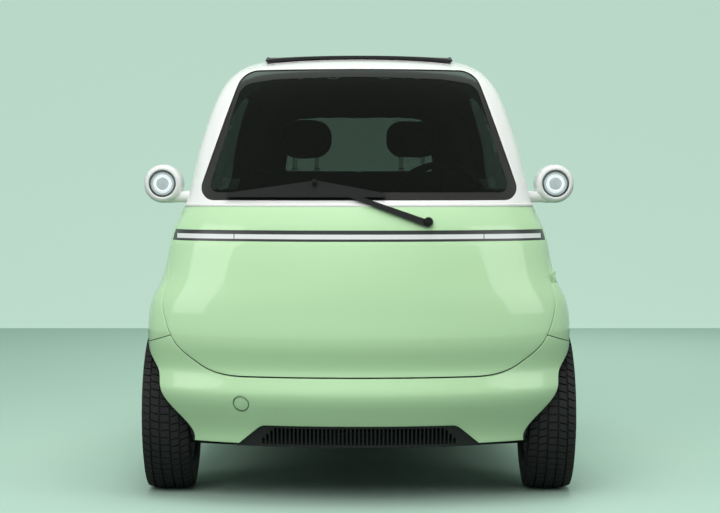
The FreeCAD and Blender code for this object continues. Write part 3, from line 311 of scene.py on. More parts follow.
def bare_iron(name, code):
    """Sand-cast iron: rough, grey and a little browned."""
    material, tree, surface, place = finish_named(name)
    stain = add_node(tree, "ShaderNodeTexNoise", {"Vector": place, "Scale": per_metre(33.3),
                                                  "Detail": 5.0})
    brown = add_node(tree, "ShaderNodeMix", {0: stain.outputs["Fac"], 6: linear(code),
                                             7: linear("#4A423C")}, data_type="RGBA")
    connect(tree, surface, {
        "Base Color": brown.outputs[2], "Metallic": 0.7, "Roughness": 0.6,
        "Normal": relief(tree, place, 2.5, 0.3, 0.6, 5.0, 0.7)})
    return material


def polished_chrome(name):
    """Chromium plate on steel: bright, with the faintest haze of fine polishing."""
    material, tree, surface, place = finish_named(name)
    haze = add_node(tree, "ShaderNodeTexNoise", {"Vector": place, "Scale": per_metre(3), "Detail": 3.0})
    gloss = add_node(tree, "ShaderNodeMapRange", {"Value": haze.outputs["Fac"], "To Min": 0.05,
                                                  "To Max": 0.1})
    connect(tree, surface, {
        "Base Color": varied(tree, place, linear("#D9DADC"), 50, 0.02), "Metallic": 1.0,
        "Roughness": gloss.outputs["Result"]})
    return material


def coated_steel(name, code):
    """Pressed steel under black dip coat: semi-gloss, with small runs and pits."""
    material, tree, surface, place = finish_named(name)
    connect(tree, surface, {
        "Base Color": varied(tree, place, linear(code), 83.3, 0.1), "IOR": 1.5, "Roughness": 0.48,
        "Normal": relief(tree, place, 8, 0.12, 0.5, 4.0)})
    return material


FINISHES = {
    "green_paint": lambda: car_paint("lower_body_lacquer", tuple(colours().lower_paint)),
    "white_paint": lambda: car_paint("roof_lacquer", tuple(colours().upper_paint)),
    "window_glass": lambda: tinted_glass("grey_laminated_glass", "#8B9490"),
    "roof_fabric": lambda: woven_cloth("roof_canvas", tuple(colours().roof_cloth), 3.0, 0.5, 0.2),
    "black_plastic": lambda: moulded_plastic("black_grained_abs", "#1C1C1D"),
    "light_bar_white": lambda: light_cover("opal_light_cover", "#E2E5E4", 0.05),
    "tail_lamp_red": lambda: gloss_plastic("red_lamp_cover", "#8E1216"),
    "pod_white": lambda: gloss_plastic("white_moulded_shell", "#F2F3F2", 0.1),
    "lamp_lens": lambda: tinted_glass("clear_lamp_cover", "#F4F7F8"),
    "mirror_silver": lambda: polished_chrome("mirror_silvering"),
    "seat_fabric": lambda: woven_cloth("seat_knit", tuple(colours().seat_cloth), 3.0, 0.6),
    "chrome_post": lambda: polished_chrome("chrome_plate"),
    "tyre_rubber": lambda: tyre_rubber("tyre_rubber"),
    "rim_alloy": lambda: cast_alloy("silver_cast_alloy", "#C6C8CB"),
    "chassis_steel": lambda: coated_steel("dip_coated_steel", "#202022"),
    "cast_metal": lambda: bare_iron("sand_cast_iron", "#57575A"),
    "battery_case": lambda: coated_steel("battery_case_coating", "#34373A"),
    "motor_case": lambda: cast_alloy("cast_motor_alloy", "#9A9DA1", 0.45),
    # Also the dark strip of painted shade on the light bar and the ring of painted shade round the tow
    # cover
    "dark_trim_and_painted_shade": lambda: gloss_plastic("dark_plastic_and_painted_shade", "#3B3D3E", 0.25),
    "lamp_bezel": lambda: gloss_plastic("grey_lamp_bezel", "#6E7073", 0.2),
    "frit": lambda: enamel_border("black_glass_enamel", "#2A2929"),
    # The bowl, ring and disc inside a lamp pod glow with painted light, standing in for studio light that
    # the clear cover keeps out
    "reflector": lambda: light_cover("lamp_reflector_opal", "#D2D8DA", 0.3),
    "lamp_ring": lambda: light_cover("lamp_ring_painted_glow", "#FCFEFF", 0.75),
    "lamp_disc": lambda: light_cover("lamp_disc_painted_glow", "#DDE3E5", 0.4),
    "wiper_rubber": lambda: moulded_plastic("wiper_black_satin", "#0B0B0C", 0.45, 0.9, 0.05),
    "lining": lambda: moulded_plastic("charcoal_cabin_lining", "#2C2C2E", 0.7, 1.4, 0.08),
    # Also the beads of painted shade in the door and bumper seams
    "dark_rubber_and_painted_shade": lambda: moulded_plastic("seal_rubber_and_painted_shade", "#18181A", 0.6, 0.8, 0.03),
    "soft_black": lambda: moulded_plastic("steering_wheel_polyurethane", "#1F1F21", 0.5, 1.6, 0.12),
}
MADE_FINISHES = {}


def finish(slot):
    """The material of a slot, made on first use."""
    if slot not in MADE_FINISHES:
        MADE_FINISHES[slot] = FINISHES[slot]()
    return MADE_FINISHES[slot]


# Modelling helpers

def mm(across, along, up):
    """A point given in millimetres."""
    return Vector((across, along, up)) * MM


def deselect():
    bpy.ops.object.select_all(action="DESELECT")


def make_active(thing):
    deselect()
    thing.select_set(True)
    bpy.context.view_layer.objects.active = thing


def edit():
    bpy.ops.object.mode_set(mode="EDIT")


def leave_edit():
    bpy.ops.object.mode_set(mode="OBJECT")


def retitle(thing, name):
    """Names an object and its mesh."""
    thing.name = name
    thing.data.name = name
    return thing


def named(name):
    """Names the primitive that was just added and applies its place to its mesh."""
    thing = retitle(bpy.context.object, name)
    bpy.ops.object.transform_apply(location=True, rotation=True, scale=True)
    return thing


def unselect_mesh(mesh):
    for elements in (mesh.vertices, mesh.edges, mesh.polygons):
        elements.foreach_set("select", [False] * len(elements))


def edge_middle(mesh, edge):
    first, second = (mesh.vertices[number].co for number in edge.vertices)
    return (first + second) / 2


def pick(thing, test, kind="VERT"):
    """Selects the vertices, edges or faces whose middle passes a test, and enters edit mode."""
    make_active(thing)
    mesh = thing.data
    unselect_mesh(mesh)
    if kind == "VERT":
        for point in mesh.vertices:
            point.select = test(point.co)
    elif kind == "EDGE":
        for edge in mesh.edges:
            edge.select = test(edge_middle(mesh, edge))
    else:
        for face in mesh.polygons:
            face.select = test(face.center, face.normal)
    edit()
    bpy.ops.mesh.select_mode(type=kind)


def shifted(thing, test, offset):
    """Moves the vertices that pass a test."""
    pick(thing, test)
    bpy.ops.transform.translate(value=offset)
    leave_edit()


def rounded(thing, test, radius, segments):
    """Bevels the edges whose middle passes a test."""
    pick(thing, test, "EDGE")
    bpy.ops.mesh.bevel(offset=radius, segments=segments, affect="EDGES")
    leave_edit()


def draw_out(offset):
    """Extrudes what is selected in edit mode."""
    bpy.ops.mesh.extrude_region_move(TRANSFORM_OT_translate={"value": offset})


def face_outwards():
    """Turns all faces of the mesh in edit mode outwards, and leaves edit mode."""
    bpy.ops.mesh.select_all(action="SELECT")
    bpy.ops.mesh.normals_make_consistent(inside=False)
    leave_edit()


def modified(thing, kind, **settings):
    """Adds a modifier with its settings and applies it."""
    make_active(thing)
    modifier = thing.modifiers.new(kind.lower(), kind)
    for name, value in settings.items():
        setattr(modifier, name, value)
    bpy.ops.object.modifier_apply(modifier=modifier.name)
    return thing


def smooth(thing, degrees):
    """Shades a piece smooth, apart from edges sharper than an angle."""
    make_active(thing)
    bpy.ops.object.shade_smooth_by_angle(angle=math.radians(degrees))
    return thing


def box(name, low, high):
    """A box primitive between two corners, to be shaped further."""
    deselect()
    low, high = Vector(low), Vector(high)
    bpy.ops.mesh.primitive_cube_add(size=1, location=(low + high) / 2, scale=high - low)
    return named(name)


def ringed(outline, radius=0, start=0, side=1):
    """An outline in millimetres as rings to turn, counted from a radius and a start in metres."""
    return [(start + side * along * MM, radius + wider * MM) for along, wider in outline]


def turned(name, rings, centre, axis, segments, closed=False):
    """A shape turned about an axis: a circle drawn out ring by ring, each (along, radius). A
    closed one joins its last ring to its first, and an open one has its ends filled."""
    deselect()
    direction = Vector([float(axis == letter) for letter in "XYZ"])
    facing = {"X": (0, math.pi / 2, 0), "Y": (math.pi / 2, 0, 0), "Z": (0, 0, 0)}[axis]
    start, radius = rings[0]
    bpy.ops.mesh.primitive_circle_add(vertices=segments, radius=radius, rotation=facing,
                                      location=Vector(centre) + direction * start)
    thing = named(name)
    edit()
    bpy.ops.mesh.select_mode(type="EDGE")
    bpy.ops.mesh.select_all(action="SELECT")
    for (before, old), (along, new) in zip(rings, rings[1:]):
        draw_out(direction * (along - before))
        grow = [1.0 if part else new / old for part in direction]
        bpy.ops.transform.resize(value=grow, center_override=Vector(centre) + direction * along)
    if closed:
        bpy.ops.mesh.select_all(action="DESELECT")
        bpy.ops.mesh.select_non_manifold(extend=False)
        bpy.ops.mesh.bridge_edge_loops()
    else:
        bpy.ops.mesh.select_all(action="SELECT")
        bpy.ops.mesh.fill_holes(sides=0)
    face_outwards()
    return thing


def copied(thing, name, matrix):
    """A copy with its own mesh, moved by a matrix that is applied to the mesh."""
    make_active(thing)
    bpy.ops.object.duplicate(linked=False)
    twin = retitle(bpy.context.object, name)
    twin.data.transform(matrix)
    if matrix.determinant() < 0:
        edit()
        bpy.ops.mesh.select_all(action="SELECT")
        bpy.ops.mesh.flip_normals()
        leave_edit()
    return twin


def joined(name, things):
    """Joins pieces that move together into one object."""
    deselect()
    for thing in things:
        thing.select_set(True)
    bpy.context.view_layer.objects.active = things[0]
    bpy.ops.object.join()
    return retitle(things[0], name)


def dressed(thing, slot, body, *replaced, record_slot=None):
    """Gives a finished piece its material and its body, and hides the frame nodes it stands for."""
    thing.data.materials.clear()
    thing.data.materials.append(finish(slot))
    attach(thing, body)
    if replaced:
        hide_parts(*replaced)


def skin_of(node, name):
    """A merged copy of a frame node's mesh, ready to be worked on."""
    merge_distance = 0.02 * MM
    deselect()
    thing = NODES[node].copy()
    thing.data = NODES[node].data.copy()
    for key in list(thing.keys()):
        del thing[key]
    thing.parent = None
    bpy.context.scene.collection.objects.link(thing)
    thing.hide_viewport = False
    thing.hide_render = False
    thing.hide_set(False)
    retitle(thing, name)
    make_active(thing)
    edit()
    bpy.ops.mesh.select_all(action="SELECT")
    bpy.ops.mesh.remove_doubles(threshold=merge_distance)
    leave_edit()
    bpy.ops.mesh.customdata_custom_splitnormals_clear()
    return thing


def anywhere(place):
    return True


def bead(name, node, radius, faces, edges=anywhere):
    """A round moulding along the rim of some of a node's faces, kept where the edges pass a test."""
    thing = skin_of(node, name)
    pick(thing, faces, "FACE")
    bpy.ops.mesh.region_to_loop()
    leave_edit()
    mesh = thing.data
    kept = [edge.select and edges(edge_middle(mesh, edge)) for edge in mesh.edges]
    unselect_mesh(mesh)
    mesh.edges.foreach_set("select", kept)
    edit()
    bpy.ops.mesh.select_mode(type="EDGE")
    bpy.ops.mesh.select_all(action="INVERT")
    bpy.ops.mesh.delete(type="EDGE")
    leave_edit()
    bpy.ops.object.convert(target="CURVE")
    curve = bpy.context.object.data
    curve.bevel_depth = radius
    curve.bevel_resolution = 3
    curve.use_fill_caps = True
    bpy.ops.object.convert(target="MESH")
    return smooth(retitle(bpy.context.object, name), PADDED)


def struck(node, place):
    """Where a line along the car, from a place in front of it, meets a frame node, and the normal."""
    return NODES[node].ray_cast(place, Vector((0, 1, 0)))[1:3]


# The studio, in metres: a wide floor, and a wall behind the car with a cove at its foot
FLOOR_SIDE = 44
WALL_DISTANCE = 5.0
WALL_FOOT_DEPTH = 1.2
WALL_FOOT_LIFT = 0.0005
WALL_HEIGHT = 12
COVE_RADIUS = 0.7
COVE_SEGMENTS = 16
# The camera: its lens and its place in the picture in pixels, then its place by the car in metres
PICTURE_WIDTH = 720
PICTURE_HEIGHT = 513
FOCAL_PIXELS = 1842
MIDDLE_COLUMN = 359
HORIZON_ROW = 186
SENSOR_WIDTH_MM = 36
CAMERA_TO_AXLE = 6.3
CAMERA_HEIGHT = 1.032
VIEW_DEPTH = 100


class MICROCAR_OT_stage(bpy.types.Operator):
    """Sets up the studio: floor, backdrop, lamps, world and camera"""
    bl_idname = "microcar.stage"
    bl_label = "Studio"
    bl_options = {"REGISTER", "UNDO"}

    def execute(self, context):
        low, high = CAD_BOX
        board = tuple(colours().backdrop)
        self.add_floor(board)
        self.add_wall(board, high.y + WALL_DISTANCE)
        self.add_world(board)
        self.add_lamps(tuple((low + high) / 2))
        self.add_camera()
        bpy.context.scene.view_settings.view_transform = "Standard"
        return {"FINISHED"}

    def plane(self, name, middle, depth):
        """A flat sheet as wide as the floor."""
        deselect()
        bpy.ops.mesh.primitive_plane_add(size=1, location=middle)
        bpy.context.object.scale = (FLOOR_SIDE, depth, 1)
        return named(name)

    def add_floor(self, board):
        floor = self.plane("studio_floor", (0, 0, 0), FLOOR_SIDE)
        floor.data.materials.append(self.floor_material(board))

    def add_wall(self, board, front):
        """A strip of floor whose back edge is drawn up into a wall, with a round cove between."""
        back = front + WALL_FOOT_DEPTH
        wall = self.plane("studio_wall", (0, (front + back) / 2, WALL_FOOT_LIFT), WALL_FOOT_DEPTH)
        pick(wall, lambda place: place.y > back - WALL_FOOT_DEPTH / 4, "EDGE")
        draw_out((0, 0, WALL_HEIGHT))
        face_outwards()
        if wall.data.polygons[0].normal.z < 0:
            wall.data.flip_normals()
        modified(wall, "BEVEL", width=COVE_RADIUS, segments=COVE_SEGMENTS, limit_method="ANGLE")
        smooth(wall, PADDED)
        wall.data.materials.append(self.wall_material(board))

    def add_lamps(self, middle):
        """Square lamps, each with its place, what it faces, its side in metres, its power in watts,
        and whether paint and glass mirror it."""
        for name, place, target, side, power, mirrored in (
                ("key_lamp", (-1.0, -5.4, 4.0), (0, -0.9, 0.8), 3.6, 138, False),
                ("left_lamp", (4.6, -3.2, 2.8), (0.2, -0.4, 0.8), 2.6, 36, True),
                ("right_lamp", (-4.6, -3.0, 2.8), (-0.2, -0.4, 0.8), 2.6, 38, True),
                ("rear_lamp", (1.5, 5.0, 4.2), (0, 0.6, 0.8), 3.0, 80, False),
                ("top_lamp", (0, -1.5, 5.4), middle, 3.6, 132, False)):
            light = bpy.data.lights.new(name, "AREA")
            light.shape = "SQUARE"
            light.size = side
            light.energy = power
            lamp = bpy.data.objects.new(name, light)
            bpy.context.scene.collection.objects.link(lamp)
            lamp.location = place
            lamp.rotation_euler = (Vector(target) - Vector(place)).to_track_quat("-Z", "Y").to_euler()
            lamp.visible_glossy = mirrored
            lamp.visible_transmission = mirrored

    def floor_material(self, board):
        """Matt paper: in its own colour where it is seen, and darker where it would throw light
        back up under the car."""
        material = bpy.data.materials.new("studio_floor_paper")
        tree = new_tree(material)
        path = add_node(tree, "ShaderNodeLightPath")
        tint = add_node(tree, "ShaderNodeMix", {0: path.outputs["Is Camera Ray"], 6: shaded(board, 0.32),
                                                7: shaded(board, 0.85)}, data_type="RGBA")
        matt = add_node(tree, "ShaderNodeBsdfDiffuse", {"Color": tint.outputs[2]})
        add_node(tree, "ShaderNodeOutputMaterial", {"Surface": matt.outputs[0]})
        return material

    def wall_material(self, board):
        """Matt paper lit from behind, even all over, and clear when it is seen from its back."""
        material = bpy.data.materials.new("studio_wall_paper")
        tree = new_tree(material)
        glow = add_node(tree, "ShaderNodeEmission", {"Color": board, "Strength": 0.95})
        matt = add_node(tree, "ShaderNodeBsdfDiffuse", {"Color": board})
        lit = add_node(tree, "ShaderNodeMixShader", {0: 0.8, 1: matt.outputs[0], 2: glow.outputs[0]})
        clear = add_node(tree, "ShaderNodeBsdfTransparent")
        side = add_node(tree, "ShaderNodeNewGeometry")
        seen = add_node(tree, "ShaderNodeMixShader", {0: side.outputs["Backfacing"], 1: lit.outputs[0],
                                                      2: clear.outputs[0]})
        add_node(tree, "ShaderNodeOutputMaterial", {"Surface": seen.outputs[0]})
        return material

    def add_world(self, board):
        """Soft grey light from all round; what is seen or mirrored is the board's colour near the
        horizon, and a dark ceiling above it for whatever is mirrored."""
        world = bpy.data.worlds.new("studio_world")
        bpy.context.scene.world = world
        tree = new_tree(world)
        path = add_node(tree, "ShaderNodeLightPath")
        optical = add_node(tree, "ShaderNodeMath", {0: path.outputs["Is Glossy Ray"],
                                                    1: path.outputs["Is Transmission Ray"]},
                           operation="MAXIMUM")
        sky = add_node(tree, "ShaderNodeTexCoord").outputs["Generated"]
        height = add_node(tree, "ShaderNodeSeparateXYZ", {0: sky}).outputs["Z"]
        rise = add_node(tree, "ShaderNodeMath", {0: height}, operation="ABSOLUTE")
        ceiling = add_node(tree, "ShaderNodeMapRange", {"Value": rise.outputs[0], "From Min": 0.12,
                                                        "From Max": 0.62})
        mirrored = add_node(tree, "ShaderNodeMix", {0: ceiling.outputs["Result"], 6: board,
                                                    7: linear("#70766F")}, data_type="RGBA")
        soft = add_node(tree, "ShaderNodeBackground", {"Color": linear("#EEF4F1"), "Strength": 0.3})
        shine = add_node(tree, "ShaderNodeBackground", {"Color": mirrored.outputs[2], "Strength": 1.0})
        shown = add_node(tree, "ShaderNodeBackground", {"Color": board, "Strength": 1.0})
        light = add_node(tree, "ShaderNodeMixShader", {0: optical.outputs[0], 1: soft.outputs[0],
                                                       2: shine.outputs[0]})
        mixed = add_node(tree, "ShaderNodeMixShader", {0: path.outputs["Is Camera Ray"],
                                                       1: light.outputs[0], 2: shown.outputs[0]})
        add_node(tree, "ShaderNodeOutputWorld", {"Surface": mixed.outputs[0]})

    def add_camera(self):
        """A long lens ahead of the front axle, level with the windscreen's foot."""
        axle = sum(corner.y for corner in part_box("tyre_front_left")) / 2
        camera = bpy.data.cameras.new("photo_camera")
        camera.sensor_width = SENSOR_WIDTH_MM
        camera.lens = FOCAL_PIXELS * SENSOR_WIDTH_MM / PICTURE_WIDTH
        camera.clip_end = VIEW_DEPTH
        stand = bpy.data.objects.new("photo_camera", camera)
        bpy.context.scene.collection.objects.link(stand)
        pitch = math.atan((PICTURE_HEIGHT / 2 - HORIZON_ROW) / FOCAL_PIXELS)
        turn = math.atan((PICTURE_WIDTH / 2 - MIDDLE_COLUMN) / FOCAL_PIXELS)
        stand.location = (0, axle - CAMERA_TO_AXLE, CAMERA_HEIGHT)
        stand.rotation_euler = (math.pi / 2 - pitch, 0, -turn)
        bpy.context.scene.camera = stand


class MICROCAR_OT_frame_finishes(bpy.types.Operator):
    """Gives every frame node that stays its finish"""
    bl_idname = "microcar.frame_finishes"
    bl_label = "Finishes of the frame's pieces"
    bl_options = {"REGISTER", "UNDO"}

    def execute(self, context):
        special = {"light_bar_trim": "dark_trim_and_painted_shade"}
        for node, thing in NODES.items():
            thing.data.materials.clear()
            thing.data.materials.append(finish(special.get(node, SLOT_OF[node])))
        return {"FINISHED"}


PANELS = ("front_bumper", "rear_bumper", "side_panel_left", "side_panel_right", "roof_shell",
          "door_panel", "windscreen_frame", "tailgate_panel", "tailgate_frame")
PANEL_SHADING = 35
PANEL_CREASE = 50
# Points in the cabin that outer faces look away from, and the least share of the normal that does
SEAM_EYE = mm(0, 0, 550)
SEAM_FACING = 0.5
LINING_EYE = mm(0, 0, 700)
LINING_FACING = 0.25
# Dark beads of painted shade along the door's edge, which ends below the shoulder, and along the bumper's
# fender joints; each is drawn in from the panel's rim, so that it sits in the gap
DOOR_SEAM_RADIUS = 1.8 * MM
DOOR_SEAM_TOP = 0.84
DOOR_SEAM_SHIFT = mm(0, 2, -2)
DOOR_SEAM_WIDTH_SHARE = 0.9978
BUMPER_SEAM_RADIUS = 1.5 * MM
BUMPER_SEAM_FOOT = 0.508
BUMPER_SEAM_START = 0.6
BUMPER_SEAM_WIDTH_SHARE = 0.9988
# The round cover of the towing eye: its middle in front view, and the gap round it
TOW_COVER_ACROSS = -379 * MM
TOW_COVER_HEIGHT = 334 * MM
TOW_COVER_RADIUS = 25 * MM
TOW_GAP_RADIUS = 1.1 * MM
AHEAD = 0.1


class MICROCAR_OT_panels(bpy.types.Operator):
    """Gives the painted panels rounded edges and lacquer"""
    bl_idname = "microcar.panels"
    bl_label = "Painted panels"
    bl_options = {"REGISTER", "UNDO"}

    def execute(self, context):
        # Beads of painted shade in the door and bumper seams, and a ring of painted shade round the tow
        # cover
        self.tow_cover_painted_shade()
        self.seam("door_seam_painted_shade", "door_panel", "front_door", DOOR_SEAM_RADIUS,
                  lambda place: place.z < DOOR_SEAM_TOP, DOOR_SEAM_WIDTH_SHARE, DOOR_SEAM_SHIFT)
        self.seam("bumper_seam_painted_shade", "front_bumper", "body", BUMPER_SEAM_RADIUS,
                  lambda place: place.z > BUMPER_SEAM_FOOT and abs(place.x) > BUMPER_SEAM_START,
                  BUMPER_SEAM_WIDTH_SHARE, Vector())
        for node in PANELS:
            skin = skin_of(node, node + "_skin")
            modified(skin, "BEVEL", width=sizes().panel_edge, segments=3, limit_method="ANGLE",
                     angle_limit=math.radians(PANEL_CREASE), use_clamp_overlap=True)
            smooth(skin, PANEL_SHADING)
            dressed(skin, SLOT_OF[node], BODY_OF[node], node)
            self.add_lining(skin)
        return {"FINISHED"}

    def seam(self, name, node, body, radius, edges, width_share, shift):
        """A dark bead in the gap along the rim of a panel's outer face: painted shade that darkens the
        seam.
        """
        seam = bead(name, node, radius, lambda place, normal:
                    normal.dot((place - SEAM_EYE).normalized()) > SEAM_FACING, edges)
        seam.data.transform(Matrix.Translation(shift) @ Matrix.Diagonal((width_share, 1, 1, 1)))
        dressed(seam, "dark_rubber_and_painted_shade", body, record_slot="black_plastic")

    def tow_cover_painted_shade(self):
        """A thin dark ring of painted shade in the groove round the cover of the towing eye."""
        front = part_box("front_bumper")[0].y
        place, normal = struck("front_bumper", (TOW_COVER_ACROSS, front - AHEAD, TOW_COVER_HEIGHT))
        deselect()
        bpy.ops.mesh.primitive_torus_add(major_radius=TOW_COVER_RADIUS, minor_radius=TOW_GAP_RADIUS,
                                         major_segments=64, minor_segments=8, location=place,
                                         rotation=normal.to_track_quat("Z", "Y").to_euler())
        gap = smooth(named("tow_cover_painted_shade"), PADDED)
        dressed(gap, "dark_trim_and_painted_shade", "body", record_slot="black_plastic")

    def add_lining(self, skin):
        """Gives the faces that look into the cabin a dark moulded lining."""
        skin.data.materials.append(finish("lining"))
        for face in skin.data.polygons:
            if face.normal.dot((face.center - LINING_EYE).normalized()) < -LINING_FACING:
                face.material_index = 1


class MICROCAR_OT_surround(bpy.types.Operator):
    """Rolls the lower edge of the white windscreen surround"""
    bl_idname = "microcar.surround"
    bl_label = "Windscreen surround's lower lip"
    bl_options = {"REGISTER", "UNDO"}

    def execute(self, context):
        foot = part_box("windscreen_frame")[0].z
        radius = sizes().surround_lip
        set_back = 0.6 * radius
        lip = bead("surround_lip", "windscreen_frame", radius, lambda place, normal:
                   normal.y < -0.15 or normal.x * place.x > 0.5 * abs(place.x),
                   lambda place: place.z < foot + NEAR)
        lip.data.transform(Matrix.Translation((0, set_back, 0)))
        dressed(lip, "white_paint", "front_door")
        return {"FINISHED"}


# How the clear glass narrows towards the roof: shares of the window's half width, each with its
# drop below the crown in millimetres
FRONT_CROWN = ((0.772, 24), (0.55, 7), (0.28, 2), (0, 0))
REAR_CROWN = ((0.74, 10), (0.4, 2), (0, 0))
CLEAR_CORNER_RADIUS = 36 * MM
CLEAR_CORNER_SEGMENTS = 6
SAME_PLACE = 0.01 * MM
CUT_OVERRUN = 0.1


class MICROCAR_OT_glass(bpy.types.Operator):
    """Splits the windows into clear glass and its enamelled border, and beads the other windows"""
    bl_idname = "microcar.glass"
    bl_label = "Windows"
    bl_options = {"REGISTER", "UNDO"}

    def execute(self, context):
        width = sizes().frit_width
        low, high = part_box("windscreen")
        self.bordered("windscreen", "front_door", high.z - 0.86 * width, FRONT_CROWN,
                      (high.x - 0.72 * width, low.z + 0.75 * width))
        low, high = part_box("rear_window")
        self.bordered("rear_window", "tailgate", high.z - width, REAR_CROWN,
                      (0.84 * high.x, low.z + width))
        self.seal("side_window_seals", "side_windows", "body",
                  lambda place, normal: normal.x * place.x > 0.3 * abs(place.x))
        self.seal("rear_window_seal", "rear_window", "tailgate", lambda place, normal: normal.y > 0.2)
        return {"FINISHED"}

    def seal(self, name, node, body, faces):
        dressed(bead(name, node, sizes().window_seal, faces), "dark_rubber_and_painted_shade", body,
                record_slot="black_plastic")

    def bordered(self, node, body, crown, crown_shares, corner):
        """Splits a window along the clear glass's outline, seen along the car: from its lower
        corner up to the middle of its crown, and the same on the other side."""
        low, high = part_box(node)
        half = [corner] + [(share * high.x, crown - drop * MM) for share, drop in crown_shares]
        corners = half + [(-across, up) for across, up in reversed(half) if across > 0]
        opening = self.opening(corners, 0.7 * corner[0], low.y - CUT_OVERRUN,
                               high.y - low.y + 2 * CUT_OVERRUN)
        glass = skin_of(node, node + "_glass")
        border = skin_of(node, node + "_border")
        for piece, way in ((glass, "INTERSECT"), (border, "DIFFERENCE")):
            modified(piece, "BOOLEAN", object=opening, operation=way, solver="EXACT")
            smooth(piece, CUT)
        bpy.data.objects.remove(opening)
        dressed(glass, "window_glass", body, node)
        dressed(border, "frit", body, node, record_slot="window_glass")

    def opening(self, corners, round_beyond, start, depth):
        """The outline drawn corner by corner from a filled circle, with round corners beyond a
        distance from the middle, then drawn out along the car."""
        deselect()
        bpy.ops.mesh.primitive_circle_add(vertices=len(corners), radius=0.01, fill_type="NGON",
                                          rotation=(math.pi / 2, 0, 0), location=(0, start, 0))
        thing = named("clear_opening")
        starts = [point.co.copy() for point in thing.data.vertices]
        for origin, (across, up) in zip(starts, corners):
            shifted(thing, lambda place: (place - origin).length < SAME_PLACE,
                    Vector((across, start, up)) - origin)
        pick(thing, lambda place: abs(place.x) > round_beyond)
        bpy.ops.mesh.bevel(offset=CLEAR_CORNER_RADIUS, segments=CLEAR_CORNER_SEGMENTS,
                           affect="VERTICES")
        bpy.ops.mesh.select_all(action="SELECT")
        draw_out((0, depth, 0))
        face_outwards()
        return thing


# Height of the dark strip of painted shade along the light bar's top edge
PAINTED_SHADE_HEIGHT = 5 * MM
# The two divisions between the light bar's covers: their place across, and their sizes
DIVISION_SHARE = 0.672
DIVISION_HALF_WIDTH = 1.6 * MM
DIVISION_DEPTH = 6 * MM
DIVISION_RISE = 0.6 * MM
DIVISION_EDGE = 0.4 * MM
DIVISION_INSET = 0.3 * MM


class MICROCAR_OT_light_bar(bpy.types.Operator):
    """Divides the light bar into its three covers, with a dark strip of painted shade along its top edge
    """
    bl_idname = "microcar.light_bar"
    bl_label = "Light bar"
    bl_options = {"REGISTER", "UNDO"}

    def execute(self, context):
        low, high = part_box("light_bar")
        overrun = Vector((CUT_OVERRUN, CUT_OVERRUN, CUT_OVERRUN))
        ends = [[struck("light_bar", (side * DIVISION_SHARE * high.x, low.y - AHEAD, up))[0]
                 for up in (low.z + DIVISION_INSET, high.z - DIVISION_INSET)] for side in SIDES]
        cover = skin_of("light_bar", "light_bar_cover")
        # A dark strip of painted shade, standing in for the shade along the bar's top edge
        shade = skin_of("light_bar", "light_bar_painted_shade")
        cutter = box("upper_zone", (low.x - CUT_OVERRUN, low.y - CUT_OVERRUN,
                                    high.z - PAINTED_SHADE_HEIGHT), high + overrun)
        for piece, way, slot, known in ((cover, "DIFFERENCE", "light_bar_white", "light_bar_white"),
                                        (shade, "INTERSECT", "dark_trim_and_painted_shade", "black_plastic")):
            modified(piece, "BOOLEAN", object=cutter, operation=way, solver="EXACT")
            smooth(piece, CUT)
            dressed(piece, slot, "front_door", "light_bar", record_slot=known)
        bpy.data.objects.remove(cutter)
        strips = joined("light_bar_divisions", [self.division(foot, top) for foot, top in ends])
        dressed(strips, "dark_trim_and_painted_shade", "front_door", record_slot="black_plastic")
        return {"FINISHED"}

    def division(self, foot, top):
        """A strip that leans with the bar's face, from its foot to its top."""
        strip = box("light_bar_division",
                    (foot.x - DIVISION_HALF_WIDTH, foot.y - DIVISION_RISE, foot.z),
                    (foot.x + DIVISION_HALF_WIDTH, foot.y + DIVISION_DEPTH, top.z))
        shifted(strip, lambda place: place.z > (foot.z + top.z) / 2, (0, top.y - foot.y, 0))
        return modified(strip, "BEVEL", width=DIVISION_EDGE, segments=2)


# Outlines of the lamp pods in millimetres: back from the pod's face, and out from the lens's rim
POD_MOUTH = ((19, -1), (4, 0), (1.5, 1.5), (0.3, 4), (1, 7))
POD_BEZEL = ((9, -0.5), (6, -1), (5.5, -4), (7.5, -6), (12, -6.5), (12, -2))
POD_BOWL = ((7.5, -6.6), (11, -11), (13, -15), (14, -23.5), (17, -23.5), (17, -6.6))
POD_COVER_FRONT = ((6, -0.2), (4, -0.3), (2.2, -5))
POD_COVER_BACK = ((4.1, -5.5), (6, -1.8))
# Back from the face and out from the middle
POD_COVER_MIDDLE = ((0.9, 28), (0.3, 14), (0.1, 0.4), (1.7, 0.4), (2.0, 14), (2.6, 28))
POD_RING = ((13, 31), (8.5, 30.5), (7.5, 29), (7.5, 25), (8.5, 23.5), (13, 23))
POD_DISC = ((14, 23), (10.5, 22.6), (9, 17), (8, 9), (7.6, 0.4))
# Back from the face, then from the pod's back, and out from its outer side
POD_SIDE = ((4, -9), (9, -5.5), (18, -2.4), (32, -0.5), (50, 0))
POD_BACK = ((-36, 0), (-22, -1.5), (-9, -4.5), (-3, -8), (-1, -11), (-4, -12.5), (-6, -13))
POD_SEGMENTS = 72
# The arm: along the car's width and out from the arm's middle, and the arm's place by the pod
ARM = ((552, 25), (575, 22), (600, 19), (625, 19), (645, 21), (660, 20), (672, 12))
ARM_SEGMENTS = 32
ARM_SET_BACK = 44 * MM
ARM_DROP = 45 * MM


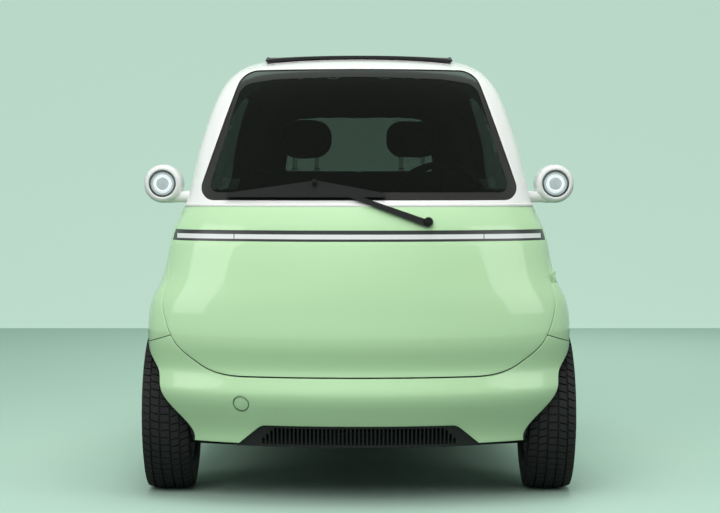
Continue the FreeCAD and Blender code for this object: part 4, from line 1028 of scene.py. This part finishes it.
class MICROCAR_OT_lamp_pods(bpy.types.Operator):
    """Turns the two lamp pods, with their bezels, rings, lenses and stalks; the bowl, ring and disc glow
    with painted light
    """
    bl_idname = "microcar.lamp_pods"
    bl_label = "Lamp pods"
    bl_options = {"REGISTER", "UNDO"}

    def execute(self, context):
        low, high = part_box("lamp_pods")
        lens_low, lens_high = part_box("lamp_lenses")
        lens = (lens_high.z - lens_low.z) / 2
        centre = Vector((lens_high.x - lens, low.y, (lens_low.z + lens_high.z) / 2))
        outer = high.z - centre.z
        shell = self.part("lamp_shell_left", ringed(POD_MOUTH, lens) + ringed(POD_SIDE, outer)
                          + ringed(POD_BACK, outer, high.y - low.y), centre, False)
        shell = joined("lamp_shell_left", [shell, self.stalk(centre, low.y)])
        cover = (ringed(POD_COVER_FRONT, lens) + ringed(POD_COVER_MIDDLE)
                 + ringed(POD_COVER_BACK, lens))
        parts = [
            (shell, "pod_white", ["lamp_pods"]),
            (self.part("lamp_bezel_left", ringed(POD_BEZEL, lens), centre), "lamp_bezel", []),
            (self.part("lamp_bowl_left", ringed(POD_BOWL, lens), centre), "reflector", []),
            (self.part("lamp_ring_left", ringed(POD_RING), centre), "lamp_ring", []),
            (self.part("lamp_disc_left", ringed(POD_DISC), centre, False), "lamp_disc", []),
            (self.part("lamp_cover_left", cover, centre), "lamp_lens", ["lamp_lenses"]),
        ]
        for piece, slot, nodes in parts:
            smooth(piece, TURNED)
            twin = copied(piece, piece.name.replace("left", "right"), Matrix.Scale(-1, 4, (1, 0, 0)))
            for thing in (piece, twin):
                dressed(thing, slot, "body", *nodes,
                        record_slot="lamp_lens" if slot == "lamp_lens" else "pod_white")
        return {"FINISHED"}

    def part(self, name, outline, centre, closed=True):
        """A round part of a pod; a closed outline makes a ring."""
        return turned(name, outline, centre, "Y", POD_SEGMENTS, closed)

    def stalk(self, centre, face):
        """An arm that leaves the pillar broad and narrows to the pod."""
        foot = Vector((0, face + ARM_SET_BACK, centre.z - ARM_DROP))
        return smooth(turned("lamp_arm", ringed(ARM), foot, "X", ARM_SEGMENTS), PADDED)


# The tyre's section in millimetres, along the axle from its middle and out from the axle, drawn for
# one size of tyre and scaled to the frame's: the outside as far as the crown, and the inside
DRAWN_TYRE_RADIUS = 267.5
DRAWN_HALF_WIDTH = 80
TYRE_OUTSIDE = (
    (-62, 165), (-67, 169.5), (-72, 176), (-74, 179), (-73.2, 181), (-76.5, 188),
    (-79, 200), (-79.9, 204), (-78.8, 206), (-79.6, 222), (-78.6, 236), (-79.2, 238.5),
    (-77.4, 241), (-73.5, 249), (-66, 256), (-54, 259.2), (-28, 260.6), (0, 261))
TYRE_INSIDE = ((57, 168), (68, 200), (66, 235), (50, 250), (0, 253), (-50, 250), (-66, 235),
               (-68, 200), (-57, 168))
TYRE_SEGMENTS = 128
# Rows of tread blocks: both sides as shares of the half width, the slant across a block in
# millimetres, and how far its outer edge drops towards the sidewall
TREAD_ROWS = (
    (-0.95, -0.63, 9, 8.5), (-0.57, -0.24, 7, 0.8), (-0.18, 0.18, 0, 0),
    (0.24, 0.57, -7, 0.8), (0.63, 0.95, -9, 8.5))
# A block is rooted this many times its depth below the crown
ROOT_SHARE = 2.2
TREAD_CLEARANCE = 0.3 * MM
TREAD_EDGE = 0.9 * MM


class MICROCAR_OT_tyres(bpy.types.Operator):
    """Moulds one tyre with tread and sidewall, and fits it to the four wheels"""
    bl_idname = "microcar.tyres"
    bl_label = "Tyres"
    bl_options = {"REGISTER", "UNDO"}

    def execute(self, context):
        low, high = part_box("tyre_front_left")
        centre = (low + high) / 2
        radius = (high.y - low.y) / 2
        half = (high.x - low.x) / 2
        tyre = joined("tyre_front_left_tread", [self.carcass(centre, radius, half),
                                                self.tread(centre, radius, half)])
        for wheel in WHEELS:
            node = "tyre_" + wheel
            place = sum(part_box(node), Vector()) / 2
            turn = 0 if place.x > 0 else math.pi
            twin = copied(tyre, "tread_" + wheel, Matrix.Translation(place)
                          @ Matrix.Rotation(turn, 4, "Z") @ Matrix.Translation(-centre))
            dressed(twin, "tyre_rubber", BODY_OF[node], node)
        bpy.data.objects.remove(tyre)
        return {"FINISHED"}

    def carcass(self, centre, radius, half):
        """The tyre's body, turned from its section, with its other half mirrored."""
        wider = half / DRAWN_HALF_WIDTH
        taller = radius / DRAWN_TYRE_RADIUS
        mirrored = tuple((-along, out) for along, out in reversed(TYRE_OUTSIDE[:-1]))
        section = [(along * wider, out * taller) for along, out in TYRE_OUTSIDE + mirrored + TYRE_INSIDE]
        return smooth(turned("tyre_carcass", section, centre, "X", TYRE_SEGMENTS, closed=True), TURNED)

    def tread(self, centre, radius, half):
        """One pitch of five blocks, repeated round the axle."""
        pitches = sizes().tread_pitches
        length = math.tau * radius / pitches - sizes().tread_gap
        blocks = [self.block(centre, radius, half, length, *row) for row in TREAD_ROWS]
        tread = joined("tyre_tread", blocks)
        modified(tread, "BEVEL", width=TREAD_EDGE, segments=1)
        hub = bpy.data.objects.new("tread_turn", None)
        bpy.context.scene.collection.objects.link(hub)
        turn = Matrix.Rotation(math.tau / pitches, 4, "X")
        hub.matrix_world = Matrix.Translation(centre) @ turn @ Matrix.Translation(-centre)
        bpy.context.view_layer.update()
        modified(tread, "ARRAY", count=pitches, use_relative_offset=False, use_object_offset=True,
                 offset_object=hub)
        bpy.data.objects.remove(hub)
        return smooth(tread, CUT)

    def block(self, centre, radius, half, length, left, right, slant, drop):
        """A block of tread on top of the tyre, rooted in the carcass."""
        root = radius - ROOT_SHARE * sizes().tread_depth
        block = box("tread_block", centre + Vector((left * half, -length / 2, root)),
                    centre + Vector((right * half, length / 2, radius - TREAD_CLEARANCE)))
        if drop:
            edge = max(abs(left), abs(right)) * half - NEAR
            crown = centre.z + radius - NEAR
            shifted(block, lambda place: abs(place.x - centre.x) > edge and place.z > crown,
                    mm(0, 0, -drop))
        middle = centre.x + (left + right) * half / 2
        shifted(block, lambda place: place.x > middle, mm(0, slant, 0))
        return block


# Outlines of the wheel's fittings in millimetres: out from the wheel's middle plane along the axle,
# and out from each fitting's own middle
WHEEL_CAP = ((33, 24), (36, 24), (38.5, 22.5), (40, 19), (40.6, 12), (39.8, 11), (39.8, 0.4))
WHEEL_NUT = ((33, 9), (35, 9), (35.2, 8), (42, 8), (43.5, 6.4), (43.5, 3))
NUT_CIRCLE_RADIUS = 36
NUTS = 4
CAP_SEGMENTS = 48
NUT_SIDES = 6
NUT_SHADING = 20


class MICROCAR_OT_wheel_fittings(bpy.types.Operator):
    """Adds the centre cap and the nuts to each wheel"""
    bl_idname = "microcar.wheel_fittings"
    bl_label = "Wheel nuts and caps"
    bl_options = {"REGISTER", "UNDO"}

    def execute(self, context):
        for wheel in WHEELS:
            node = "rim_" + wheel
            centre = sum(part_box(node), Vector()) / 2
            side = 1 if centre.x > 0 else -1
            cap = turned("wheel_cap_" + wheel, ringed(WHEEL_CAP, side=side), centre, "X", CAP_SEGMENTS)
            smooth(cap, TURNED)
            nuts = []
            for number in range(NUTS):
                angle = math.tau * (number + 0.5) / NUTS
                place = centre + mm(0, NUT_CIRCLE_RADIUS * math.cos(angle),
                                    NUT_CIRCLE_RADIUS * math.sin(angle))
                nuts.append(turned("wheel_nut", ringed(WHEEL_NUT, side=side), place, "X", NUT_SIDES))
            nuts = smooth(joined("wheel_nuts_" + wheel, nuts), NUT_SHADING)
            dressed(cap, "dark_trim_and_painted_shade", BODY_OF[node], record_slot="black_plastic")
            dressed(nuts, "chrome_post", BODY_OF[node], record_slot="rim_alloy")
        return {"FINISHED"}


BENCH_VOXEL = 9 * MM
BENCH_FILL = 0.8
DRAWN_IN_SHARE = 1.3
BACK_RISE = 16 * MM
BACK_TOP_ZONE = 0.12
# Sewn channels, each with its depth and half its width: down the middle, and across at shares
MIDDLE_CHANNEL = (7 * MM, 11 * MM)
CROSS_CHANNEL = (4 * MM, 8 * MM)
BENCH_ROWS = (0.22, 0.5, 0.78)
BENCH_ROW_FOOT = 0.06
BACK_ROWS = (0.25, 0.5, 0.75)
# A headrest: how far its shell starts inside the frame's, its roundings with their segments, its
# cloth, the line round its front panel, and the seam round its edge
HEADREST_SIDE_INSET = 7 * MM
HEADREST_INSET = 6 * MM
HEADREST_CORNER = (62 * MM, 8)
HEADREST_RIM = (24 * MM, 6)
HEADREST_RIM_BEYOND = 20 * MM
HEADREST_VOXEL = 5 * MM
HEADREST_SWELL = 7 * MM
HEADREST_FILL = 0.85
PANEL_HALF_STRETCH = 26 * MM
PANEL_LINE_RADIUS = 52 * MM
PANEL_CHANNEL = (5 * MM, 6 * MM)
SEAM_BEHIND_MIDDLE = 6 * MM
SEAM_CHANNEL = (2.5 * MM, 4 * MM)
# Posts and their collars: their places beside a headrest's middle, how deep they start in the
# back, how far they reach into the headrest, and a collar's outline in millimetres from the back's top
POST_OFFSETS = (-45 * MM, 45 * MM)
POST_RADIUS = 7.6 * MM
POST_DEPTH = 60 * MM
POST_GRIPS = (2 * MM, 12 * MM)
COLLAR = ((-22, 12), (3, 12.5), (6, 10))
POST_SEGMENTS = 24


class MICROCAR_OT_seats(bpy.types.Operator):
    """Pads the bench, its back and the headrests, and adds the headrests' chrome posts"""
    bl_idname = "microcar.seats"
    bl_label = "Seats"
    bl_options = {"REGISTER", "UNDO"}

    def execute(self, context):
        self.cushion("bench_cushion", "seat_base", self.bench_channels, 0)
        self.cushion("bench_back", "seat_back", self.back_channels, BACK_RISE)
        for side, name in zip(SIDES, ("headrest_left", "headrest_right")):
            self.headrest(side, name)
        self.headrest_posts()
        return {"FINISHED"}

    def cushion(self, name, node, channels, rise):
        """A frame cushion drawn in by what it swells, its top raised, then filled and sewn."""
        swell = sizes().cloth_swell
        thing = skin_of(node, name)
        low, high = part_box(node)
        middle = (low + high) / 2
        shares = [1 - DRAWN_IN_SHARE * swell / side for side in (high - low)]
        thing.data.transform(Matrix.Translation(middle) @ Matrix.Diagonal((*shares, 1))
                             @ Matrix.Translation(-middle))
        shifted(thing, lambda place: place.z > high.z - BACK_TOP_ZONE, (0, 0, rise))
        swollen(thing, BENCH_VOXEL, swell)
        grooved(thing, lambda place: abs(place.x), *MIDDLE_CHANNEL)
        channels(thing, low, high)
        self.sewn(thing, node, BENCH_FILL)

    def bench_channels(self, thing, low, high):
        for share in BENCH_ROWS:
            row = low.y + share * (high.y - low.y)
            grooved(thing, lambda place: abs(place.y - row) if place.z > low.z + BENCH_ROW_FOOT else 1,
                    *CROSS_CHANNEL)

    def back_channels(self, thing, low, high):
        for share in BACK_ROWS:
            row = low.z + share * (high.z - low.z)
            grooved(thing, lambda place: abs(place.z - row), *CROSS_CHANNEL)

    def headrest(self, side, name):
        """A rounded pad with a stitched panel in front and a seam round its edge."""
        low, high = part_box("headrests")
        width = sizes().headrest_width
        across = side * (high.x - width / 2)
        middle = Vector((across, (low.y + high.y) / 2, (low.z + high.z) / 2))
        thing = box(name, (across - width / 2 + HEADREST_SIDE_INSET, low.y + HEADREST_INSET,
                           low.z + HEADREST_INSET),
                    (across + width / 2 - HEADREST_SIDE_INSET, high.y - HEADREST_INSET,
                     high.z - HEADREST_INSET))
        rounded(thing, lambda place: abs(place.y - middle.y) < NEAR, *HEADREST_CORNER)
        rounded(thing, lambda place: abs(place.y - middle.y) > HEADREST_RIM_BEYOND, *HEADREST_RIM)
        swollen(thing, HEADREST_VOXEL, HEADREST_SWELL)
        grooved(thing, lambda place: abs(self.stadium(place - middle) - PANEL_LINE_RADIUS)
                if place.y < middle.y else 1, *PANEL_CHANNEL)
        grooved(thing, lambda place: abs(place.y - middle.y - SEAM_BEHIND_MIDDLE), *SEAM_CHANNEL)
        self.sewn(thing, "headrests", HEADREST_FILL)

    def stadium(self, offset):
        """Distance of a point from a flat stretch of a headrest's middle line."""
        return math.hypot(max(0, abs(offset.x) - PANEL_HALF_STRETCH), offset.z)

    def sewn(self, thing, node, fill):
        """Smooths a filled pad and gives it its cloth."""
        modified(thing, "SUBSURF", levels=1, render_levels=1)
        smooth(thing, PADDED)
        dressed(thing, "seat_fabric", "body", node)

    def headrest_posts(self):
        low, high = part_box("headrests")
        width = sizes().headrest_width
        back_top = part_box("seat_back")[1].z
        ends = [back_top - POST_DEPTH] + [low.z + grip for grip in POST_GRIPS]
        posts = []
        for side in SIDES:
            for offset in POST_OFFSETS:
                foot = Vector((side * (high.x - width / 2) + offset, (low.y + high.y) / 2, 0))
                posts.append(turned("headrest_post", [(end, POST_RADIUS) for end in ends],
                                    foot, "Z", POST_SEGMENTS))
                posts.append(turned("headrest_collar", ringed(COLLAR, start=back_top),
                                    foot, "Z", POST_SEGMENTS))
        posts = smooth(joined("headrest_posts", posts), TURNED)
        dressed(posts, "chrome_post", "body", record_slot="chassis_steel")


AIR_PRESSURE = 4
FILLING_FRAMES = 20


def swollen(thing, voxel, most):
    """Fills a closed cloth shell with air until it is taut, with no point moving further than allowed."""
    modified(thing, "REMESH", mode="VOXEL", voxel_size=voxel)
    points = thing.data.vertices
    before = np.empty(len(points) * 3)
    points.foreach_get("co", before)
    make_active(thing)
    cloth = thing.modifiers.new("cloth", "CLOTH")
    cloth.settings.use_pressure = True
    cloth.settings.uniform_pressure_force = AIR_PRESSURE
    cloth.settings.effector_weights.gravity = 0
    cloth.point_cache.frame_start = 1
    cloth.point_cache.frame_end = FILLING_FRAMES
    for number in range(1, FILLING_FRAMES + 1):
        bpy.context.scene.frame_set(number)
    filled = thing.evaluated_get(bpy.context.evaluated_depsgraph_get())
    after = np.empty(len(points) * 3)
    filled.data.vertices.foreach_get("co", after)
    thing.modifiers.remove(cloth)
    bpy.context.scene.frame_set(1)
    moved = (after - before).reshape(-1, 3)
    lengths = np.maximum(np.linalg.norm(moved, axis=1), 1e-9)
    moved *= np.minimum(1, most / lengths)[:, None]
    points.foreach_set("co", before + moved.ravel())
    thing.data.update()


def grooved(thing, distance, depth, half_width):
    """Sinks a sewn channel into a pad: points near its line move inwards along their normals."""
    for point in thing.data.vertices:
        away = distance(point.co)
        if away < half_width:
            point.co -= point.normal * depth * (0.5 + 0.5 * math.cos(math.pi * away / half_width))
    thing.data.update()


CLOTH_MARGIN = 6 * MM
CLOTH_START_ABOVE = 0.05
CLOTH_COLUMNS = 60
CLOTH_ROWS = 88
CLOTH_SHADING = 50
# The bows under the cloth, as shares of its length, and how far it sinks between them and lies
# below the frame's surface
BOW_SHARES = (0.03, 0.27, 0.5, 0.73, 0.97)
BOW_REACH = 95 * MM
SAG = 5.5 * MM
CLOTH_SINK = 2.6 * MM
# The front rail and the side hems: radius, and place against the cloth's rim
RAIL_ZONE = 8 * MM
RAIL_RADIUS = 5.5 * MM
RAIL_SHIFT = mm(0, 5.5, -5.2)
HEM_RADIUS = 3.5 * MM
HEM_SHIFT = mm(0, -3, -3.6)


class MICROCAR_OT_roof_cloth(bpy.types.Operator):
    """Stretches the folding roof's cloth over its bows, with its front rail and side hems"""
    bl_idname = "microcar.roof_cloth"
    bl_label = "Folding roof"
    bl_options = {"REGISTER", "UNDO"}

    def execute(self, context):
        low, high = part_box("folding_roof")
        deselect()
        bpy.ops.mesh.primitive_grid_add(x_subdivisions=CLOTH_COLUMNS, y_subdivisions=CLOTH_ROWS, size=1,
                                        location=(0, (low.y + high.y) / 2, high.z + CLOTH_START_ABOVE))
        bpy.context.object.scale = (high.x - low.x - CLOTH_MARGIN, high.y - low.y - CLOTH_MARGIN, 1)
        cloth = named("roof_cloth")
        modified(cloth, "SHRINKWRAP", target=NODES["folding_roof"], wrap_method="PROJECT",
                 use_project_z=True, use_negative_direction=True, use_positive_direction=False)
        bows = [low.y + share * (high.y - low.y) for share in BOW_SHARES]
        for point in cloth.data.vertices:
            near = min(abs(point.co.y - bow) for bow in bows)
            slack = 1 - (abs(point.co.x) / high.x) ** 6
            point.co.z -= SAG * slack * min(1, near / BOW_REACH) ** 2 + CLOTH_SINK
        smooth(cloth, CLOTH_SHADING)
        dressed(cloth, "roof_fabric", "body", "folding_roof")
        rail_end = low.y + RAIL_ZONE
        rail = self.rim("roof_front_rail", RAIL_RADIUS, lambda place: place.y < rail_end, RAIL_SHIFT)
        hems = self.rim("roof_side_hems", HEM_RADIUS, lambda place: place.y > rail_end, HEM_SHIFT)
        dressed(rail, "black_plastic", "body")
        dressed(hems, "roof_fabric", "body")
        return {"FINISHED"}

    def rim(self, name, radius, edges, shift):
        """A moulding along part of the roof's upper rim."""
        thing = bead(name, "folding_roof", radius, lambda place, normal: normal.z > 0.5, edges)
        thing.data.transform(Matrix.Translation(shift))
        return thing


# The steering wheel: its rim, the places where it is thinned for the fingers, and its spokes
RIM_RADIUS = 168 * MM
RIM_THICKNESS = 12.6 * MM
RIM_SEGMENTS = 96
RIM_SIDES = 20
GRIPS = 9
GRIP_SHARE = 0.12
WHEEL_SHADING = 45
SPOKE_ANGLES = (0, math.pi, -math.pi / 2)
# A spoke's size in millimetres, and how much it narrows and thins towards the rim
SPOKE_START, SPOKE_END, SPOKE_HALF_WIDTH, SPOKE_HALF_DEPTH = 30, 162, 13, 6
SPOKE_TAPER = (1, 0.75, 0.7)
SPOKE_EDGE = 4 * MM
# The hub pad's outline in millimetres, up the column and out from it
HUB = ((-18, 30), (-16, 44), (8, 47), (16, 44), (20, 34), (21, 12), (21.2, 0.4))
HUB_SEGMENTS = 48


class MICROCAR_OT_steering_wheel(bpy.types.Operator):
    """Models the steering wheel's rim, spokes and hub pad"""
    bl_idname = "microcar.steering_wheel"
    bl_label = "Steering wheel"
    bl_options = {"REGISTER", "UNDO"}

    def execute(self, context):
        turn = next(joint for joint in frame["record"]["behaviour"]["joints"]
                    if joint["name"] == "steering_wheel_turn")
        axis = Vector(turn["axis"])
        tilt = math.atan2(-axis.y, axis.z)
        parts = [self.rim(), *map(self.spoke, SPOKE_ANGLES)]
        parts.append(turned("steering_hub", ringed(HUB), (0, 0, 0), "Z", HUB_SEGMENTS))
        wheel = joined("steering_wheel_rim", parts)
        wheel.data.transform(Matrix.Translation(turn["pos_m"]) @ Matrix.Rotation(tilt, 4, "X"))
        smooth(wheel, WHEEL_SHADING)
        dressed(wheel, "soft_black", "steering_wheel", "steering_wheel", record_slot="black_plastic")
        return {"FINISHED"}

    def rim(self):
        """A ring, thinned in nine places along its inside for the fingers."""
        deselect()
        bpy.ops.mesh.primitive_torus_add(major_radius=RIM_RADIUS, minor_radius=RIM_THICKNESS,
                                         major_segments=RIM_SEGMENTS, minor_segments=RIM_SIDES)
        rim = named("steering_rim")
        for point in rim.data.vertices:
            if math.hypot(point.co.x, point.co.y) < RIM_RADIUS:
                angle = math.atan2(point.co.y, point.co.x)
                point.co.z *= 1 - GRIP_SHARE * max(0, math.cos(GRIPS * angle)) ** 8
        return rim

    def spoke(self, angle):
        spoke = box("steering_spoke", mm(SPOKE_START, -SPOKE_HALF_WIDTH, -SPOKE_HALF_DEPTH),
                    mm(SPOKE_END, SPOKE_HALF_WIDTH, SPOKE_HALF_DEPTH))
        pick(spoke, lambda place: place.x > (SPOKE_START + SPOKE_END) / 2 * MM)
        bpy.ops.transform.resize(value=SPOKE_TAPER, center_override=mm(SPOKE_END, 0, 0))
        leave_edit()
        modified(spoke, "BEVEL", width=SPOKE_EDGE, segments=3)
        spoke.data.transform(Matrix.Rotation(angle, 4, "Z"))
        return spoke


# The wiper's round fittings in millimetres: name, place in front view, radius
WIPER_FITTINGS = (("wiper_cap", 224, 917, 14), ("wiper_clip", -145, 1046, 9))
# Back from a fitting's rim, and out from its radius; and where on the wiper it sits
FITTING_SIDE = ((10, 0), (0, 0), (-3, -1.5), (-4.5, -5))
FITTING_MIDDLE = ((-5, 0.4),)
FITTING_SET_BACK = 1 * MM
FITTING_REACH_ACROSS = 20 * MM
FITTING_REACH_UP = 24 * MM
FITTING_SEGMENTS = 32


class MICROCAR_OT_wiper(bpy.types.Operator):
    """Adds the wiper's pivot cap and blade clip"""
    bl_idname = "microcar.wiper"
    bl_label = "Wiper fittings"
    bl_options = {"REGISTER", "UNDO"}

    def execute(self, context):
        things = []
        for name, across, up, radius in WIPER_FITTINGS:
            across, up = across * MM, up * MM
            front = min(point.co.y for point in NODES["wiper"].data.vertices
                        if abs(point.co.x - across) < FITTING_REACH_ACROSS
                        and abs(point.co.z - up) < FITTING_REACH_UP)
            things.append(turned(name, ringed(FITTING_SIDE, radius * MM) + ringed(FITTING_MIDDLE),
                                 (across, front + FITTING_SET_BACK, up), "Y", FITTING_SEGMENTS))
        fittings = smooth(joined("wiper_fittings", things), TURNED)
        dressed(fittings, "wiper_rubber", "front_door", record_slot="black_plastic")
        return {"FINISHED"}


OPERATORS = (
    MICROCAR_OT_stage, MICROCAR_OT_frame_finishes, MICROCAR_OT_panels, MICROCAR_OT_surround,
    MICROCAR_OT_glass, MICROCAR_OT_light_bar, MICROCAR_OT_wiper, MICROCAR_OT_lamp_pods,
    MICROCAR_OT_roof_cloth, MICROCAR_OT_seats, MICROCAR_OT_steering_wheel, MICROCAR_OT_tyres,
    MICROCAR_OT_wheel_fittings,
)


class MICROCAR_PT_steps(bpy.types.Panel):
    """Lists the car's settings and the steps that finish it"""
    bl_idname = "MICROCAR_PT_steps"
    bl_label = "Microcar"
    bl_space_type = "VIEW_3D"
    bl_region_type = "UI"
    bl_category = "Microcar"

    def draw(self, context):
        for group in (colours(), sizes()):
            column = self.layout.column(align=True)
            for name in group.__annotations__:
                column.prop(group, name)
        for step in OPERATORS:
            self.layout.operator(step.bl_idname)


CLASSES = (MicrocarColours, MicrocarSizes, *OPERATORS, MICROCAR_PT_steps)


def register():
    for each in CLASSES:
        bpy.utils.register_class(each)
    bpy.types.Scene.microcar_colours = PointerProperty(type=MicrocarColours)
    bpy.types.Scene.microcar_sizes = PointerProperty(type=MicrocarSizes)


def unregister():
    del bpy.types.Scene.microcar_sizes
    del bpy.types.Scene.microcar_colours
    for each in reversed(CLASSES):
        bpy.utils.unregister_class(each)


def main():
    register()
    for step in OPERATORS:
        group, name = step.bl_idname.split(".")
        getattr(getattr(bpy.ops, group), name)()


if __name__ == "__main__":
    main()
